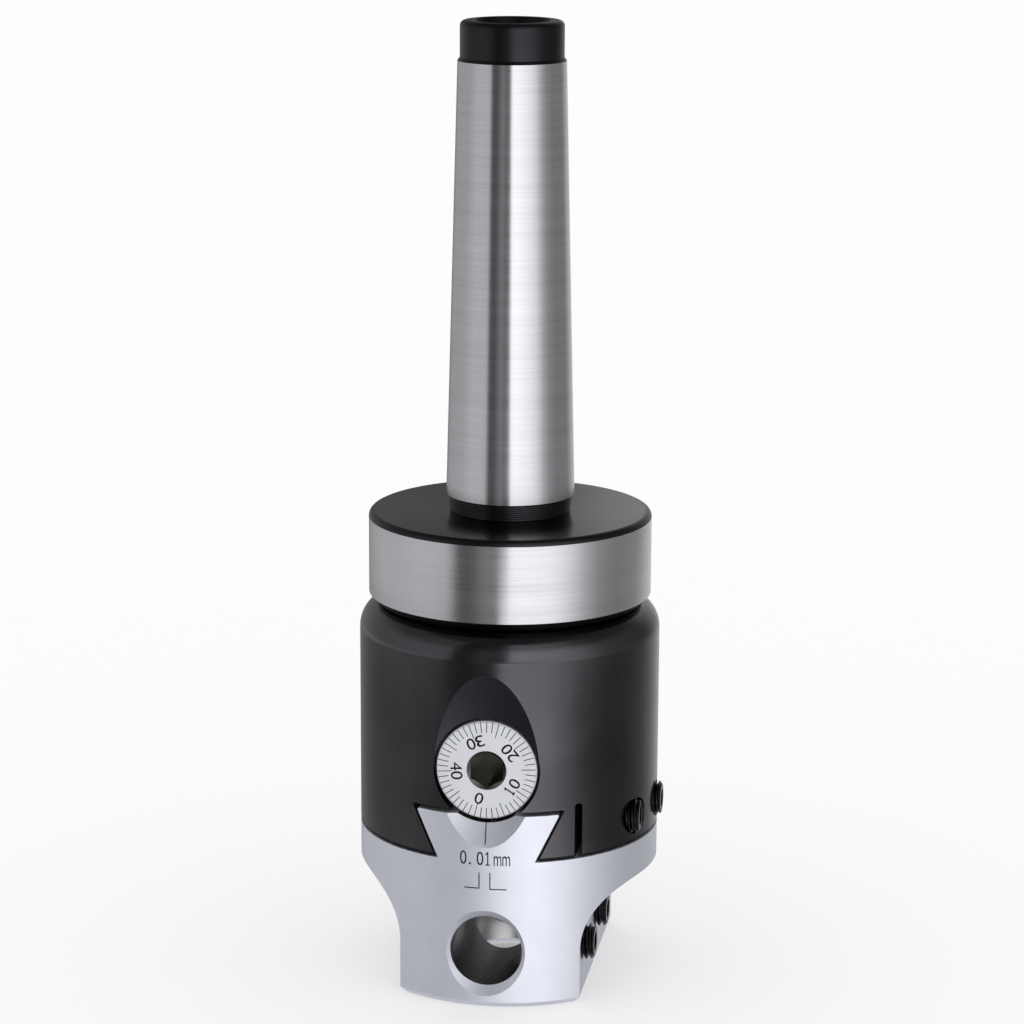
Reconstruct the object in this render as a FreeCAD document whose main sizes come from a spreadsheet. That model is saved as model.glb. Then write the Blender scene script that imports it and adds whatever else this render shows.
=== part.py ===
import FreeCAD, Part

import math
import os

import Sketcher

# A small boring head on an arbor with a self-holding taper of size 2, in millimetres. The shank
# points up (+Z), the dial faces the front (-Y) and the clamping screws are on the right (+X). The
# origin is the centre of the slide's bottom face, which is the mouth of its centre bar bore.

# The driving dimensions. Heights and lengths are stacked from the pieces that carry them.
SIZES = {
    # Body and slide, turned together on the outside
    "body_radius": 21.0,
    "shoulder_height": 21.0,
    "body_height": 32.15,
    "body_top_round": 4.0,
    "slide_clearance": 0.05,
    # Dovetail, its groove and the slit that makes one wall of the groove flexible
    "dovetail_height": 6.6,
    "dovetail_top_half_width": 9.9,
    "dovetail_angle": 26.0,
    "dovetail_edge": 0.25,
    "groove_top_gap": 0.6,
    "groove_lip": 0.6,
    "slit_centre": 12.27,
    "slit_width": 0.97,
    "slit_height": 7.85,
    # Arbor: threaded spigot, collar, neck, taper and tip
    "spigot_radius": 15.0,
    "spigot_length": 11.5,
    "spigot_chamfer": 0.8,
    "spigot_relief_width": 1.8,
    "spigot_relief_depth": 0.8,
    "spigot_clearance": 0.05,
    "socket_end_gap": 0.5,
    "collar_radius": 19.7,
    "collar_height": 12.6,
    "collar_chamfer": 1.1,
    "collar_edge": 0.5,
    "neck_radius": 8.5,
    "neck_ridge_pitch": 0.8,
    "neck_ridge_depth": 0.3,
    "taper_big_radius": 8.92,
    "taper_per_side": 0.024975,
    "taper_length": 59.8,
    "tip_radius": 7.1,
    "tip_length": 5.4,
    "tip_flare": 0.45,
    "tip_edge": 0.7,
    "drawbar_hole_radius": 4.25,
    "drawbar_hole_depth": 22.0,
    "drawbar_countersink": 5.3,
    "drill_point_angle": 118.0,
    # Dial and lead screw, on one axis from front to back
    "screw_above_slide": 6.2,
    "dial_radius": 6.9,
    "dial_thickness": 3.2,
    "dial_setback": 1.1,
    "dial_edge": 0.2,
    "dial_clearance": 0.45,
    "dial_hex": 4.5,
    "dial_hex_depth": 4.5,
    "dial_countersink": 2.75,
    "relief_above_screw": 13.1,
    "relief_depth": 1.4,
    "front_journal_radius": 4.0,
    "bearing_clearance": 0.03,
    "lead_thread_radius": 3.0,
    "lead_thread_clearance": 0.05,
    "thread_relief_width": 0.8,
    "thread_relief_depth": 0.4,
    "rear_journal_radius": 2.5,
    "rear_pocket_radius": 4.6,
    "rear_pocket_depth": 5.17,
    "screw_end_chamfer": 0.3,
    # Thrust washers and the two nuts that take up the play
    "washer_thickness": 0.7,
    "front_washer_radius": 6.2,
    "rear_washer_radius": 4.3,
    "thrust_play": 0.03,
    "nut_radius": 4.2,
    "nut_bore_clearance": 0.02,
    "take_up_nut_thickness": 1.9,
    "lock_nut_thickness": 1.7,
    "nut_edge": 0.25,
    "spanner_hole_radius": 0.55,
    "spanner_hole_circle": 3.35,
    "spanner_hole_depth": 1.0,
    "screw_end_proud": 0.25,
    # Lead nut, which stands in the slide and reaches up through a slot to the lead screw
    "post_radius": 4.75,
    "post_offset": 5.5,
    "post_seat_depth": 5.0,
    "post_seat_clearance": 0.02,
    "post_above_screw": 4.2,
    "post_chamfer": 0.5,
    "travel_forward": 11.82,
    "travel_back": 0.98,
    "slot_side_gap": 0.15,
    "slot_top_gap": 0.4,
    # Slide below the shoulders
    "waist_half_width": 12.6,
    "side_cut_radius": 8.4,
    "side_cut_height": 7.76,
    "bottom_chamfer": 0.8,
    "scoop_radius": 10.7,
    "scoop_slope": 3.5,
    "channel_end": 3.5,
    "bar_bore_radius": 5.0,
    "centre_bore_depth": 19.0,
    "cross_bore_height": 7.9,
    "bore_chamfer": 0.7,
    "cross_bore_chamfer_radius": 6.2,
    # Socket set screws, all with the same thread
    "set_screw_radius": 2.5,
    "set_screw_clearance": 0.05,
    "set_screw_hex": 2.5,
    "set_screw_hex_depth": 2.6,
    "set_screw_point": 0.7,
    "set_screw_edge": 0.4,
    "gib_screw_rise": 3.75,
    "gib_screw_spacing": 8.6,
    "gib_middle_proud": 0.805,
    "gib_outer_proud": 0.647,
    "gib_tip_gap": 0.02,
    "bar_screw_length": 8.0,
    "bar_screw_proud": 1.73,
    "bar_screw_inset": 7.5,
}

SHEET = "size"
FULL_TURN = 360.0
BEYOND = 2.0  # how far a cut runs past the surface that it opens
NECK_RIDGES = 3
COUNTERSINK_HALF_ANGLE = 30.0
HEXAGON_SIDES = 6


class Size:
    """A number together with the sheet formula that gives it."""

    def __init__(self, number, formula):
        self.number = number
        self.formula = formula

    def __add__(self, other):
        other = as_size(other)
        return Size(self.number + other.number, f"({self.formula} + {other.formula})")

    def __sub__(self, other):
        other = as_size(other)
        return Size(self.number - other.number, f"({self.formula} - {other.formula})")

    def __mul__(self, other):
        other = as_size(other)
        return Size(self.number * other.number, f"({self.formula} * {other.formula})")

    def __truediv__(self, other):
        other = as_size(other)
        return Size(self.number / other.number, f"({self.formula} / {other.formula})")

    def __neg__(self):
        return Size(-self.number, f"(-1 * {self.formula})")

    def __radd__(self, other):
        return as_size(other) + self

    def __rsub__(self, other):
        return as_size(other) - self

    def __rmul__(self, other):
        return as_size(other) * self


def as_size(value):
    if isinstance(value, Size):
        return value
    return Size(value, repr(float(value)))


def tangent(angle):
    """The tangent of an angle in degrees."""
    return Size(math.tan(math.radians(angle.number)), f"tan({angle.formula} * 1 deg)")


def cosine(angle):
    """The cosine of an angle in degrees."""
    return Size(math.cos(math.radians(angle.number)), f"cos({angle.formula} * 1 deg)")


def circle_reach(radius, aside):
    """How far a circle reaches past its centre, at a distance to the side of it."""
    square = radius * radius - aside * aside
    return Size(math.sqrt(square.number), f"sqrt({square.formula})")


class Namespace:
    """The sheet's sizes by name."""


def make_sheet(document):
    """Writes the driving dimensions to a spreadsheet and returns them by name."""
    sheet = document.addObject("Spreadsheet::Sheet", SHEET)
    names = Namespace()
    for row, (alias, number) in enumerate(SIZES.items(), start=1):
        sheet.set(f"A{row}", alias)
        sheet.set(f"B{row}", str(number))
        sheet.setAlias(f"B{row}", alias)
        setattr(names, alias, Size(float(number), f"{SHEET}.{alias}"))
    document.recompute()
    return names


doc = FreeCAD.newDocument("boring_head")
s = make_sheet(doc)

# Places worked out from the sizes
slide_top = s.shoulder_height + s.dovetail_height
body_bottom = s.shoulder_height + s.slide_clearance
body_top = body_bottom + s.body_height
groove_top = slide_top + s.groove_top_gap
screw_height = slide_top + s.screw_above_slide
relief_top = screw_height + s.relief_above_screw
dial_face = -(s.body_radius - s.dial_setback)
dial_back = dial_face + s.dial_thickness
pocket_floor = dial_back + s.thrust_play + s.washer_thickness
slot_front = s.post_offset - s.post_radius - s.travel_forward
slot_back = s.post_offset + s.post_radius + s.travel_back
rear_floor = s.body_radius - s.rear_pocket_depth
take_up_face = rear_floor + s.washer_thickness + s.thrust_play
lock_face = take_up_face + s.take_up_nut_thickness
screw_end = lock_face + s.lock_nut_thickness + s.screw_end_proud
pocket_radius = s.dial_radius + s.dial_clearance
slot_half_width = s.post_radius + s.slot_side_gap
slit_inner = s.slit_centre - s.slit_width / 2
bar_screw_end = s.waist_half_width + s.bar_screw_proud
bar_screw_front = -(s.body_radius - s.bar_screw_inset)
gib_tip = slit_inner + s.gib_tip_gap
gib_screw_height = body_bottom + s.gib_screw_rise
gib_middle_end = s.body_radius + s.gib_middle_proud
gib_outer_end = circle_reach(s.body_radius, s.gib_screw_spacing) + s.gib_outer_proud


# Helpers for bodies, sketches and features


def new_body(name):
    body = doc.addObject("PartDesign::Body", name)
    body.Label = name
    return body


def place(body, x, y, z):
    """Puts a body's own origin at a point of the head."""
    point = [as_size(value) for value in (x, y, z)]
    body.Placement = FreeCAD.Placement(
        FreeCAD.Vector(*[value.number for value in point]), FreeCAD.Rotation()
    )
    for letter, value in zip("xyz", point):
        body.setExpression(f".Placement.Base.{letter}", value.formula)


def new_sketch(body, plane, name, offset=0.0):
    """A sketch on one of the body's own origin planes, moved along the plane's normal."""
    sketch = body.newObject("Sketcher::SketchObject", f"{body.Label}_{name}_sketch")
    support = [item for item in body.Origin.OriginFeatures if item.Role == plane][0]
    sketch.AttachmentSupport = [(support, "")]
    sketch.MapMode = "FlatFace"
    offset = as_size(offset)
    sketch.AttachmentOffset = FreeCAD.Placement(
        FreeCAD.Vector(0, 0, offset.number), FreeCAD.Rotation()
    )
    sketch.setExpression(".AttachmentOffset.Base.z", offset.formula)
    return sketch


def constrain(sketch, value, kind, *where):
    value = as_size(value)
    index = sketch.addConstraint(Sketcher.Constraint(kind, *where, value.number))
    sketch.setExpression(f"Constraints[{index}]", value.formula)


def fix_point(sketch, element, vertex, x, y):
    constrain(sketch, x, "DistanceX", element, vertex)
    constrain(sketch, y, "DistanceY", element, vertex)


def arc_between(start, end, radius):
    """The arc from start to end that turns left when the radius is positive, right when negative."""
    chord = end - start
    middle = start + chord * 0.5
    left = FreeCAD.Vector(-chord.y, chord.x, 0).normalize()
    rise = math.sqrt(max(radius * radius - chord.Length * chord.Length / 4, 0.0))
    centre = middle + left * math.copysign(rise, radius)
    bulge = middle - centre
    if bulge.Length < 1e-9:
        bulge = left * -math.copysign(1.0, radius)
    on_arc = centre + bulge.normalize() * abs(radius)
    return Part.Arc(start, on_arc, end)


def draw_outline(sketch, corners):
    """A closed outline. A corner is (x, y), or (x, y, radius) where an arc leads to the next."""
    points = [
        FreeCAD.Vector(as_size(corner[0]).number, as_size(corner[1]).number, 0) for corner in corners
    ]
    ends = []
    for index, corner in enumerate(corners):
        start = points[index]
        end = points[(index + 1) % len(points)]
        if len(corner) == 2:
            element = sketch.addGeometry(Part.LineSegment(start, end))
            ends.append((element, 1, 2))
        else:
            radius = as_size(corner[2])
            element = sketch.addGeometry(arc_between(start, end, radius.number))
            turns_left = radius.number > 0
            ends.append((element, 1, 2) if turns_left else (element, 2, 1))
            constrain(sketch, radius if turns_left else -radius, "Radius", element)
    for index, corner in enumerate(corners):
        element, first, _ = ends[index]
        before, _, last = ends[index - 1]
        sketch.addConstraint(Sketcher.Constraint("Coincident", before, last, element, first))
        fix_point(sketch, element, first, corner[0], corner[1])


def draw_circle(sketch, x, y, radius):
    centre = FreeCAD.Vector(as_size(x).number, as_size(y).number, 0)
    circle = Part.Circle(centre, FreeCAD.Vector(0, 0, 1), as_size(radius).number)
    element = sketch.addGeometry(circle)
    fix_point(sketch, element, 3, x, y)
    constrain(sketch, radius, "Radius", element)


def draw_hexagon(sketch, across_flats):
    """A hexagon about the sketch's origin with corners at its top and bottom."""
    corner_radius = across_flats / math.sqrt(3.0)
    corners = []
    for step in range(HEXAGON_SIDES):
        angle = math.radians(FULL_TURN / 4 + FULL_TURN / HEXAGON_SIDES * step)
        corners.append((corner_radius * math.cos(angle), corner_radius * math.sin(angle)))
    draw_outline(sketch, corners)


def draw_axis(sketch, height):
    """A construction line to turn a profile about, level at the given height."""
    height = as_size(height)
    start = FreeCAD.Vector(0, height.number, 0)
    end = FreeCAD.Vector(1, height.number, 0)
    line = sketch.addGeometry(Part.LineSegment(start, end), True)
    fix_point(sketch, line, 1, 0.0, height)
    fix_point(sketch, line, 2, 1.0, height)


def add_feature(body, kind, name, sketch):
    feature = body.newObject(f"PartDesign::{kind}", f"{body.Label}_{name}")
    feature.Profile = sketch
    return feature


def finish_cut(body, name, before):
    """Rebuilds the document and makes sure that the cut took material away."""
    doc.recompute()
    if not body.Shape.Volume < before:
        raise RuntimeError(f"{body.Label}: {name} cuts nothing")


def pad(body, name, plane, draw, length, offset=0.0, both_ways=False):
    sketch = new_sketch(body, plane, name, offset)
    draw(sketch)
    feature = add_feature(body, "Pad", name, sketch)
    if both_ways:
        feature.SideType = "Symmetric"
    length = as_size(length)
    feature.Length = length.number
    feature.setExpression("Length", length.formula)
    doc.recompute()
    return feature


def pocket(body, name, plane, draw, depth=None, offset=0.0, forwards=False, width=None):
    """Cuts a drawing: to a depth against the normal, to a width across it, or through all."""
    before = body.Shape.Volume
    sketch = new_sketch(body, plane, name, offset)
    draw(sketch)
    feature = add_feature(body, "Pocket", name, sketch)
    length = width if depth is None else depth
    if length is None:
        feature.Type = "ThroughAll"
    else:
        length = as_size(length)
        feature.Length = length.number
        feature.setExpression("Length", length.formula)
    if depth is None:
        feature.SideType = "Symmetric"
    else:
        feature.Reversed = forwards
    finish_cut(body, name, before)
    return feature


def revolve(body, name, plane, corners, axis, cut=False, height=None):
    """Turns a half profile about an axis of its sketch, or about a level line at a height."""
    before = body.Shape.Volume if cut else 0.0
    sketch = new_sketch(body, plane, name)
    if height is not None:
        draw_axis(sketch, height)
    draw_outline(sketch, corners)
    feature = add_feature(body, "Groove" if cut else "Revolution", name, sketch)
    feature.ReferenceAxis = (sketch, [axis])
    feature.Angle = FULL_TURN
    if cut:
        finish_cut(body, name, before)
    else:
        doc.recompute()
    return feature


def dress_edges(body, kind, name, chosen, size):
    """A fillet or chamfer on the edges of the body's shape that the test chooses."""
    base = body.Tip
    edges = [f"Edge{index}" for index, edge in enumerate(base.Shape.Edges, start=1) if chosen(edge)]
    feature = body.newObject(f"PartDesign::{kind}", f"{body.Label}_{name}")
    feature.Base = (base, edges)
    prop = "Radius" if kind == "Fillet" else "Size"
    setattr(feature, prop, size.number)
    feature.setExpression(prop, size.formula)
    doc.recompute()
    return feature


def lies_at_height(edge, height):
    """Whether an edge lies in the level plane at a height."""
    box = edge.BoundBox
    return abs(box.ZMin - height.number) < 1e-6 and abs(box.ZMax - height.number) < 1e-6


# The pieces


def make_arbor():
    """The tapered shank with its collar and the threaded spigot that holds the body.

    Its own origin is the collar's seat on the body.
    """
    body = new_body("arbor")
    relief_radius = s.spigot_radius - s.spigot_relief_depth
    neck_floor = s.neck_radius - s.neck_ridge_depth
    neck_top = s.collar_height + s.neck_ridge_pitch * NECK_RIDGES
    taper_top = neck_top + s.taper_length
    taper_small_radius = s.taper_big_radius - s.taper_per_side * s.taper_length
    flare = taper_top + s.tip_flare
    end = taper_top + s.tip_length
    profile = [
        (0.0, -s.spigot_length),
        (s.spigot_radius - s.spigot_chamfer, -s.spigot_length),
        (s.spigot_radius, s.spigot_chamfer - s.spigot_length),
        (s.spigot_radius, -s.spigot_relief_width),
        (relief_radius, -s.spigot_relief_width),
        (relief_radius, 0.0),
        (s.collar_radius - s.collar_chamfer, 0.0),
        (s.collar_radius, s.collar_chamfer),
        (s.collar_radius, s.collar_height - s.collar_edge),
        (s.collar_radius - s.collar_edge, s.collar_height),
    ]
    # Turned ridges between the collar and the taper
    for ridge in range(NECK_RIDGES):
        foot = s.collar_height + s.neck_ridge_pitch * ridge
        profile.append((neck_floor, foot))
        profile.append((s.neck_radius, foot + s.neck_ridge_pitch / 2))
    profile += [
        (neck_floor, neck_top),
        (s.taper_big_radius, neck_top),
        (taper_small_radius, taper_top),
        (s.tip_radius, flare),
        (s.tip_radius, end - s.tip_edge),
        (s.tip_radius - s.tip_edge, end),
        (0.0, end),
    ]
    revolve(body, "turned_form", "XZ_Plane", profile, "V_Axis")

    countersink_width = s.drawbar_countersink - s.drawbar_hole_radius
    countersink_depth = countersink_width / tangent(as_size(COUNTERSINK_HALF_ANGLE))
    drill_point = s.drawbar_hole_radius / tangent(s.drill_point_angle / 2)
    hole = [
        (0.0, end + BEYOND),
        (s.drawbar_countersink, end + BEYOND),
        (s.drawbar_countersink, end),
        (s.drawbar_hole_radius, end - countersink_depth),
        (s.drawbar_hole_radius, end - s.drawbar_hole_depth),
        (0.0, end - s.drawbar_hole_depth - drill_point),
    ]
    revolve(body, "drawbar_hole", "XZ_Plane", hole, "V_Axis", cut=True)
    place(body, 0.0, 0.0, body_top)
    return body


def flank_half_width(height_above_shoulder):
    """Half the dovetail's width at a height, as its flanks run without broken edges."""
    drop = s.dovetail_height - height_above_shoulder
    return s.dovetail_top_half_width - drop * tangent(s.dovetail_angle)


def make_head_body():
    """The upper body with the arbor's socket, the dovetail groove and the lead screw's seats."""
    body = new_body("head_body")
    pad(
        body,
        "blank",
        "XY_Plane",
        lambda sketch: draw_circle(sketch, 0.0, 0.0, s.body_radius),
        s.body_height,
        offset=body_bottom,
    )
    dress_edges(
        body, "Fillet", "top_round", lambda edge: lies_at_height(edge, body_top), s.body_top_round
    )

    socket_radius = s.spigot_radius + s.spigot_clearance
    socket_floor = body_top - s.spigot_length - s.socket_end_gap
    socket = [
        (0.0, socket_floor),
        (socket_radius, socket_floor),
        (socket_radius, body_top - s.spigot_chamfer),
        (socket_radius + s.spigot_chamfer, body_top),
        (socket_radius + s.spigot_chamfer, body_top + BEYOND),
        (0.0, body_top + BEYOND),
    ]
    revolve(body, "arbor_socket", "XZ_Plane", socket, "V_Axis", cut=True)

    # The flanks stand off the slide's by the same clearance, measured square to them
    side_gap = s.slide_clearance / cosine(s.dovetail_angle)
    groove_top_half = flank_half_width(s.dovetail_height + s.groove_top_gap) + side_gap
    lip_half = flank_half_width(s.slide_clearance + s.groove_lip) + side_gap
    mouth_half = flank_half_width(s.slide_clearance) + side_gap + s.groove_lip
    lip_top = body_bottom + s.groove_lip
    below = body_bottom - BEYOND
    groove = [
        (-mouth_half, below),
        (mouth_half, below),
        (mouth_half, body_bottom),
        (lip_half, lip_top),
        (groove_top_half, groove_top),
        (-groove_top_half, groove_top),
        (-lip_half, lip_top),
        (-mouth_half, body_bottom),
    ]
    pocket(body, "dovetail_groove", "XZ_Plane", lambda sketch: draw_outline(sketch, groove))

    slit_top = body_bottom + s.slit_height
    slit_end = s.slit_width / 2
    slit = [
        (slit_inner, below),
        (s.slit_centre + slit_end, below),
        (s.slit_centre + slit_end, slit_top - slit_end, slit_end),
        (s.slit_centre, slit_top, slit_end),
        (slit_inner, slit_top - slit_end),
    ]
    pocket(body, "gib_slit", "XZ_Plane", lambda sketch: draw_outline(sketch, slit))

    # One stepped bore from front to back: dial pocket, front bearing, clearance for the thread as
    # far as the slot's end, rear bearing and the nuts' pocket
    outside = s.body_radius + BEYOND
    front_bearing = s.front_journal_radius + s.bearing_clearance
    rear_bearing = s.rear_journal_radius + s.bearing_clearance
    steps = [
        (-outside, screw_height),
        (-outside, screw_height + pocket_radius),
        (pocket_floor, screw_height + pocket_radius),
        (pocket_floor, screw_height + front_bearing),
        (slot_back, screw_height + front_bearing),
        (slot_back, screw_height + rear_bearing),
        (rear_floor, screw_height + rear_bearing),
        (rear_floor, screw_height + s.rear_pocket_radius),
        (outside, screw_height + s.rear_pocket_radius),
        (outside, screw_height),
    ]
    revolve(
        body, "screw_bore", "YZ_Plane", steps, "Axis0", cut=True, height=screw_height
    )

    # The sloping relief above the dial, as wide as the dial's pocket
    relief = [
        (-outside, screw_height),
        (s.relief_depth - s.body_radius, screw_height),
        (-s.body_radius, relief_top),
        (-outside, relief_top),
    ]
    pocket(
        body,
        "dial_relief",
        "YZ_Plane",
        lambda sketch: draw_outline(sketch, relief),
        width=pocket_radius * 2,
    )

    # The slot that the lead nut travels in
    slot_height = screw_height + s.post_above_screw + s.slot_top_gap - body_bottom
    slot = [
        (slot_half_width, slot_front + slot_half_width),
        (slot_half_width, slot_back - slot_half_width, slot_half_width),
        (0.0, slot_back, slot_half_width),
        (-slot_half_width, slot_back - slot_half_width),
        (-slot_half_width, slot_front + slot_half_width, slot_half_width),
        (0.0, slot_front, slot_half_width),
    ]
    pocket(
        body,
        "nut_slot",
        "XY_Plane",
        lambda sketch: draw_outline(sketch, slot),
        depth=slot_height,
        offset=body_bottom,
        forwards=True,
    )

    hole_radius = s.set_screw_radius + s.set_screw_clearance

    def draw_gib_holes(sketch):
        for step in (-1, 0, 1):
            draw_circle(sketch, s.gib_screw_spacing * step, gib_screw_height, hole_radius)

    pocket(
        body,
        "gib_screw_holes",
        "YZ_Plane",
        draw_gib_holes,
        depth=s.body_radius + BEYOND - s.slit_centre,
        offset=s.slit_centre,
        forwards=True,
    )
    place(body, 0.0, 0.0, 0.0)
    return body


def make_bar_slide():
    """The sliding bar holder: a dovetailed block turned to the body's outside and narrowed below."""
    body = new_body("bar_slide")
    foot_half = flank_half_width(as_size(0.0))
    edge_half = flank_half_width(s.dovetail_height - s.dovetail_edge)
    top_half = s.dovetail_top_half_width - s.dovetail_edge
    edge_height = slide_top - s.dovetail_edge
    side = s.body_radius + BEYOND
    cut_centre = s.waist_half_width + s.side_cut_radius
    cut_top = s.side_cut_height + s.side_cut_radius
    right = [
        (s.waist_half_width, 0.0),
        (s.waist_half_width, s.side_cut_height, -s.side_cut_radius),
        (cut_centre, cut_top),
        (side, cut_top),
        (side, s.shoulder_height),
        (foot_half, s.shoulder_height),
        (edge_half, edge_height),
        (top_half, slide_top),
    ]
    left = [
        (-top_half, slide_top),
        (-edge_half, edge_height),
        (-foot_half, s.shoulder_height),
        (-side, s.shoulder_height),
        (-side, cut_top),
        (-cut_centre, cut_top, -s.side_cut_radius),
        (-s.waist_half_width, s.side_cut_height),
        (-s.waist_half_width, 0.0),
    ]
    pad(
        body,
        "blank",
        "XZ_Plane",
        lambda sketch: draw_outline(sketch, right + left),
        side * 2,
        both_ways=True,
    )

    def draw_ring(sketch):
        draw_circle(sketch, 0.0, 0.0, s.body_radius)
        draw_circle(sketch, 0.0, 0.0, s.body_radius * 2)

    pocket(body, "turned_outside", "XY_Plane", draw_ring)
    dress_edges(
        body,
        "Chamfer",
        "bottom_edge",
        lambda edge: lies_at_height(edge, as_size(0.0)),
        s.bottom_chamfer,
    )

    # The seat of the dial, cut from the front: a shallow cone, then a channel that the dial runs in
    cone_end = (s.scoop_radius - pocket_radius) / s.scoop_slope - s.body_radius
    outer_radius = s.scoop_radius + BEYOND * s.scoop_slope
    scoop = [
        (-s.body_radius - BEYOND, screw_height),
        (-s.body_radius - BEYOND, screw_height - outer_radius),
        (cone_end, screw_height - pocket_radius),
        (-s.channel_end, screw_height - pocket_radius),
        (-s.channel_end, screw_height),
    ]
    revolve(body, "dial_seat", "YZ_Plane", scoop, "Axis0", cut=True, height=screw_height)

    pocket(
        body,
        "nut_seat",
        "XY_Plane",
        lambda sketch: draw_circle(
            sketch, 0.0, s.post_offset, s.post_radius + s.post_seat_clearance
        ),
        depth=s.post_seat_depth + s.slide_clearance,
        offset=slide_top,
    )

    centre_bore = [
        (0.0, -BEYOND),
        (s.bar_bore_radius + s.bore_chamfer, -BEYOND),
        (s.bar_bore_radius + s.bore_chamfer, 0.0),
        (s.bar_bore_radius, s.bore_chamfer),
        (s.bar_bore_radius, s.centre_bore_depth),
        (0.0, s.centre_bore_depth),
    ]
    revolve(body, "centre_bar_bore", "XZ_Plane", centre_bore, "V_Axis", cut=True)

    # Both mouths of the cross bore open with a cone at 45 degrees
    cone_depth = s.cross_bore_chamfer_radius - s.bar_bore_radius
    mouth = s.cross_bore_height + s.cross_bore_chamfer_radius + BEYOND
    cross_bore = [
        (-s.body_radius - BEYOND, s.cross_bore_height),
        (-s.body_radius - BEYOND, mouth),
        (cone_depth - s.body_radius, s.cross_bore_height + s.bar_bore_radius),
        (s.body_radius - cone_depth, s.cross_bore_height + s.bar_bore_radius),
        (s.body_radius + BEYOND, mouth),
        (s.body_radius + BEYOND, s.cross_bore_height),
    ]
    revolve(
        body,
        "cross_bar_bore",
        "YZ_Plane",
        cross_bore,
        "Axis0",
        cut=True,
        height=s.cross_bore_height,
    )

    hole_radius = s.set_screw_radius + s.set_screw_clearance

    def draw_bar_screw_holes(sketch):
        for along in (bar_screw_front, as_size(0.0)):
            draw_circle(sketch, along, s.cross_bore_height, hole_radius)

    pocket(
        body,
        "bar_screw_holes",
        "YZ_Plane",
        draw_bar_screw_holes,
        depth=bar_screw_end,
        forwards=True,
    )
    place(body, 0.0, 0.0, 0.0)
    return body


def make_dial_screw():
    """The lead screw with its graduated dial in one piece. Its own origin is the dial's face."""
    body = new_body("dial_screw")
    thread_start = slot_front - dial_face
    thread_end = slot_back - dial_face - s.thread_relief_width
    shank_end = screw_end - dial_face
    relief_radius = s.lead_thread_radius - s.thread_relief_depth
    profile = [
        (0.0, 0.0),
        (0.0, s.dial_radius - s.dial_edge),
        (s.dial_edge, s.dial_radius),
        (s.dial_thickness - s.dial_edge, s.dial_radius),
        (s.dial_thickness, s.dial_radius - s.dial_edge),
        (s.dial_thickness, s.front_journal_radius),
        (thread_start, s.front_journal_radius),
        (thread_start, relief_radius),
        (thread_start + s.thread_relief_width, relief_radius),
        (thread_start + s.thread_relief_width, s.lead_thread_radius),
        (thread_end, s.lead_thread_radius),
        (thread_end, s.rear_journal_radius),
        (shank_end - s.screw_end_chamfer, s.rear_journal_radius),
        (shank_end, s.rear_journal_radius - s.screw_end_chamfer),
        (shank_end, 0.0),
    ]
    revolve(body, "turned_form", "YZ_Plane", profile, "H_Axis")
    pocket(
        body,
        "hex_socket",
        "XZ_Plane",
        lambda sketch: draw_hexagon(sketch, s.dial_hex),
        depth=s.dial_hex_depth,
    )
    cone = [
        (-s.dial_edge, 0.0),
        (-s.dial_edge, s.dial_countersink + s.dial_edge),
        (s.dial_countersink, 0.0),
    ]
    revolve(body, "socket_countersink", "YZ_Plane", cone, "H_Axis", cut=True)
    place(body, 0.0, dial_face, screw_height)
    return body


def make_thrust_washer(name, outer_radius, inner_radius, face):
    """A flat thrust washer. Its own origin is on its front face."""
    body = new_body(name)

    def draw_washer(sketch):
        draw_circle(sketch, 0.0, 0.0, outer_radius)
        draw_circle(sketch, 0.0, 0.0, inner_radius)

    feature = pad(body, "disc", "XZ_Plane", draw_washer, s.washer_thickness)
    feature.Reversed = True
    place(body, 0.0, face, screw_height)
    return body


def make_round_nut(name, thickness, face):
    """A round nut with two spanner holes in its outer face. Its own origin is on its front face."""
    body = new_body(name)
    inner_radius = s.rear_journal_radius + s.nut_bore_clearance
    profile = [
        (0.0, inner_radius),
        (0.0, s.nut_radius),
        (thickness - s.nut_edge, s.nut_radius),
        (thickness, s.nut_radius - s.nut_edge),
        (thickness, inner_radius),
    ]
    revolve(body, "ring", "YZ_Plane", profile, "H_Axis")

    def draw_spanner_holes(sketch):
        for side in (-1, 1):
            draw_circle(sketch, s.spanner_hole_circle * side, 0.0, s.spanner_hole_radius)

    pocket(
        body,
        "spanner_holes",
        "XZ_Plane",
        draw_spanner_holes,
        depth=s.spanner_hole_depth,
        offset=-thickness,
        forwards=True,
    )
    place(body, 0.0, face, screw_height)
    return body


def make_lead_nut():
    """The nut: a round post with a cross thread. Its own origin is on the lead screw's axis."""
    body = new_body("lead_nut")
    foot = slide_top - s.post_seat_depth - screw_height
    profile = [
        (0.0, foot),
        (s.post_radius - s.post_chamfer, foot),
        (s.post_radius, foot + s.post_chamfer),
        (s.post_radius, s.post_above_screw - s.post_chamfer),
        (s.post_radius - s.post_chamfer, s.post_above_screw),
        (0.0, s.post_above_screw),
    ]
    revolve(body, "post", "XZ_Plane", profile, "V_Axis")
    hole_radius = s.lead_thread_radius + s.lead_thread_clearance
    pocket(
        body,
        "cross_thread",
        "XZ_Plane",
        lambda sketch: draw_circle(sketch, 0.0, 0.0, hole_radius),
    )
    place(body, 0.0, s.post_offset, screw_height)
    return body


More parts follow.
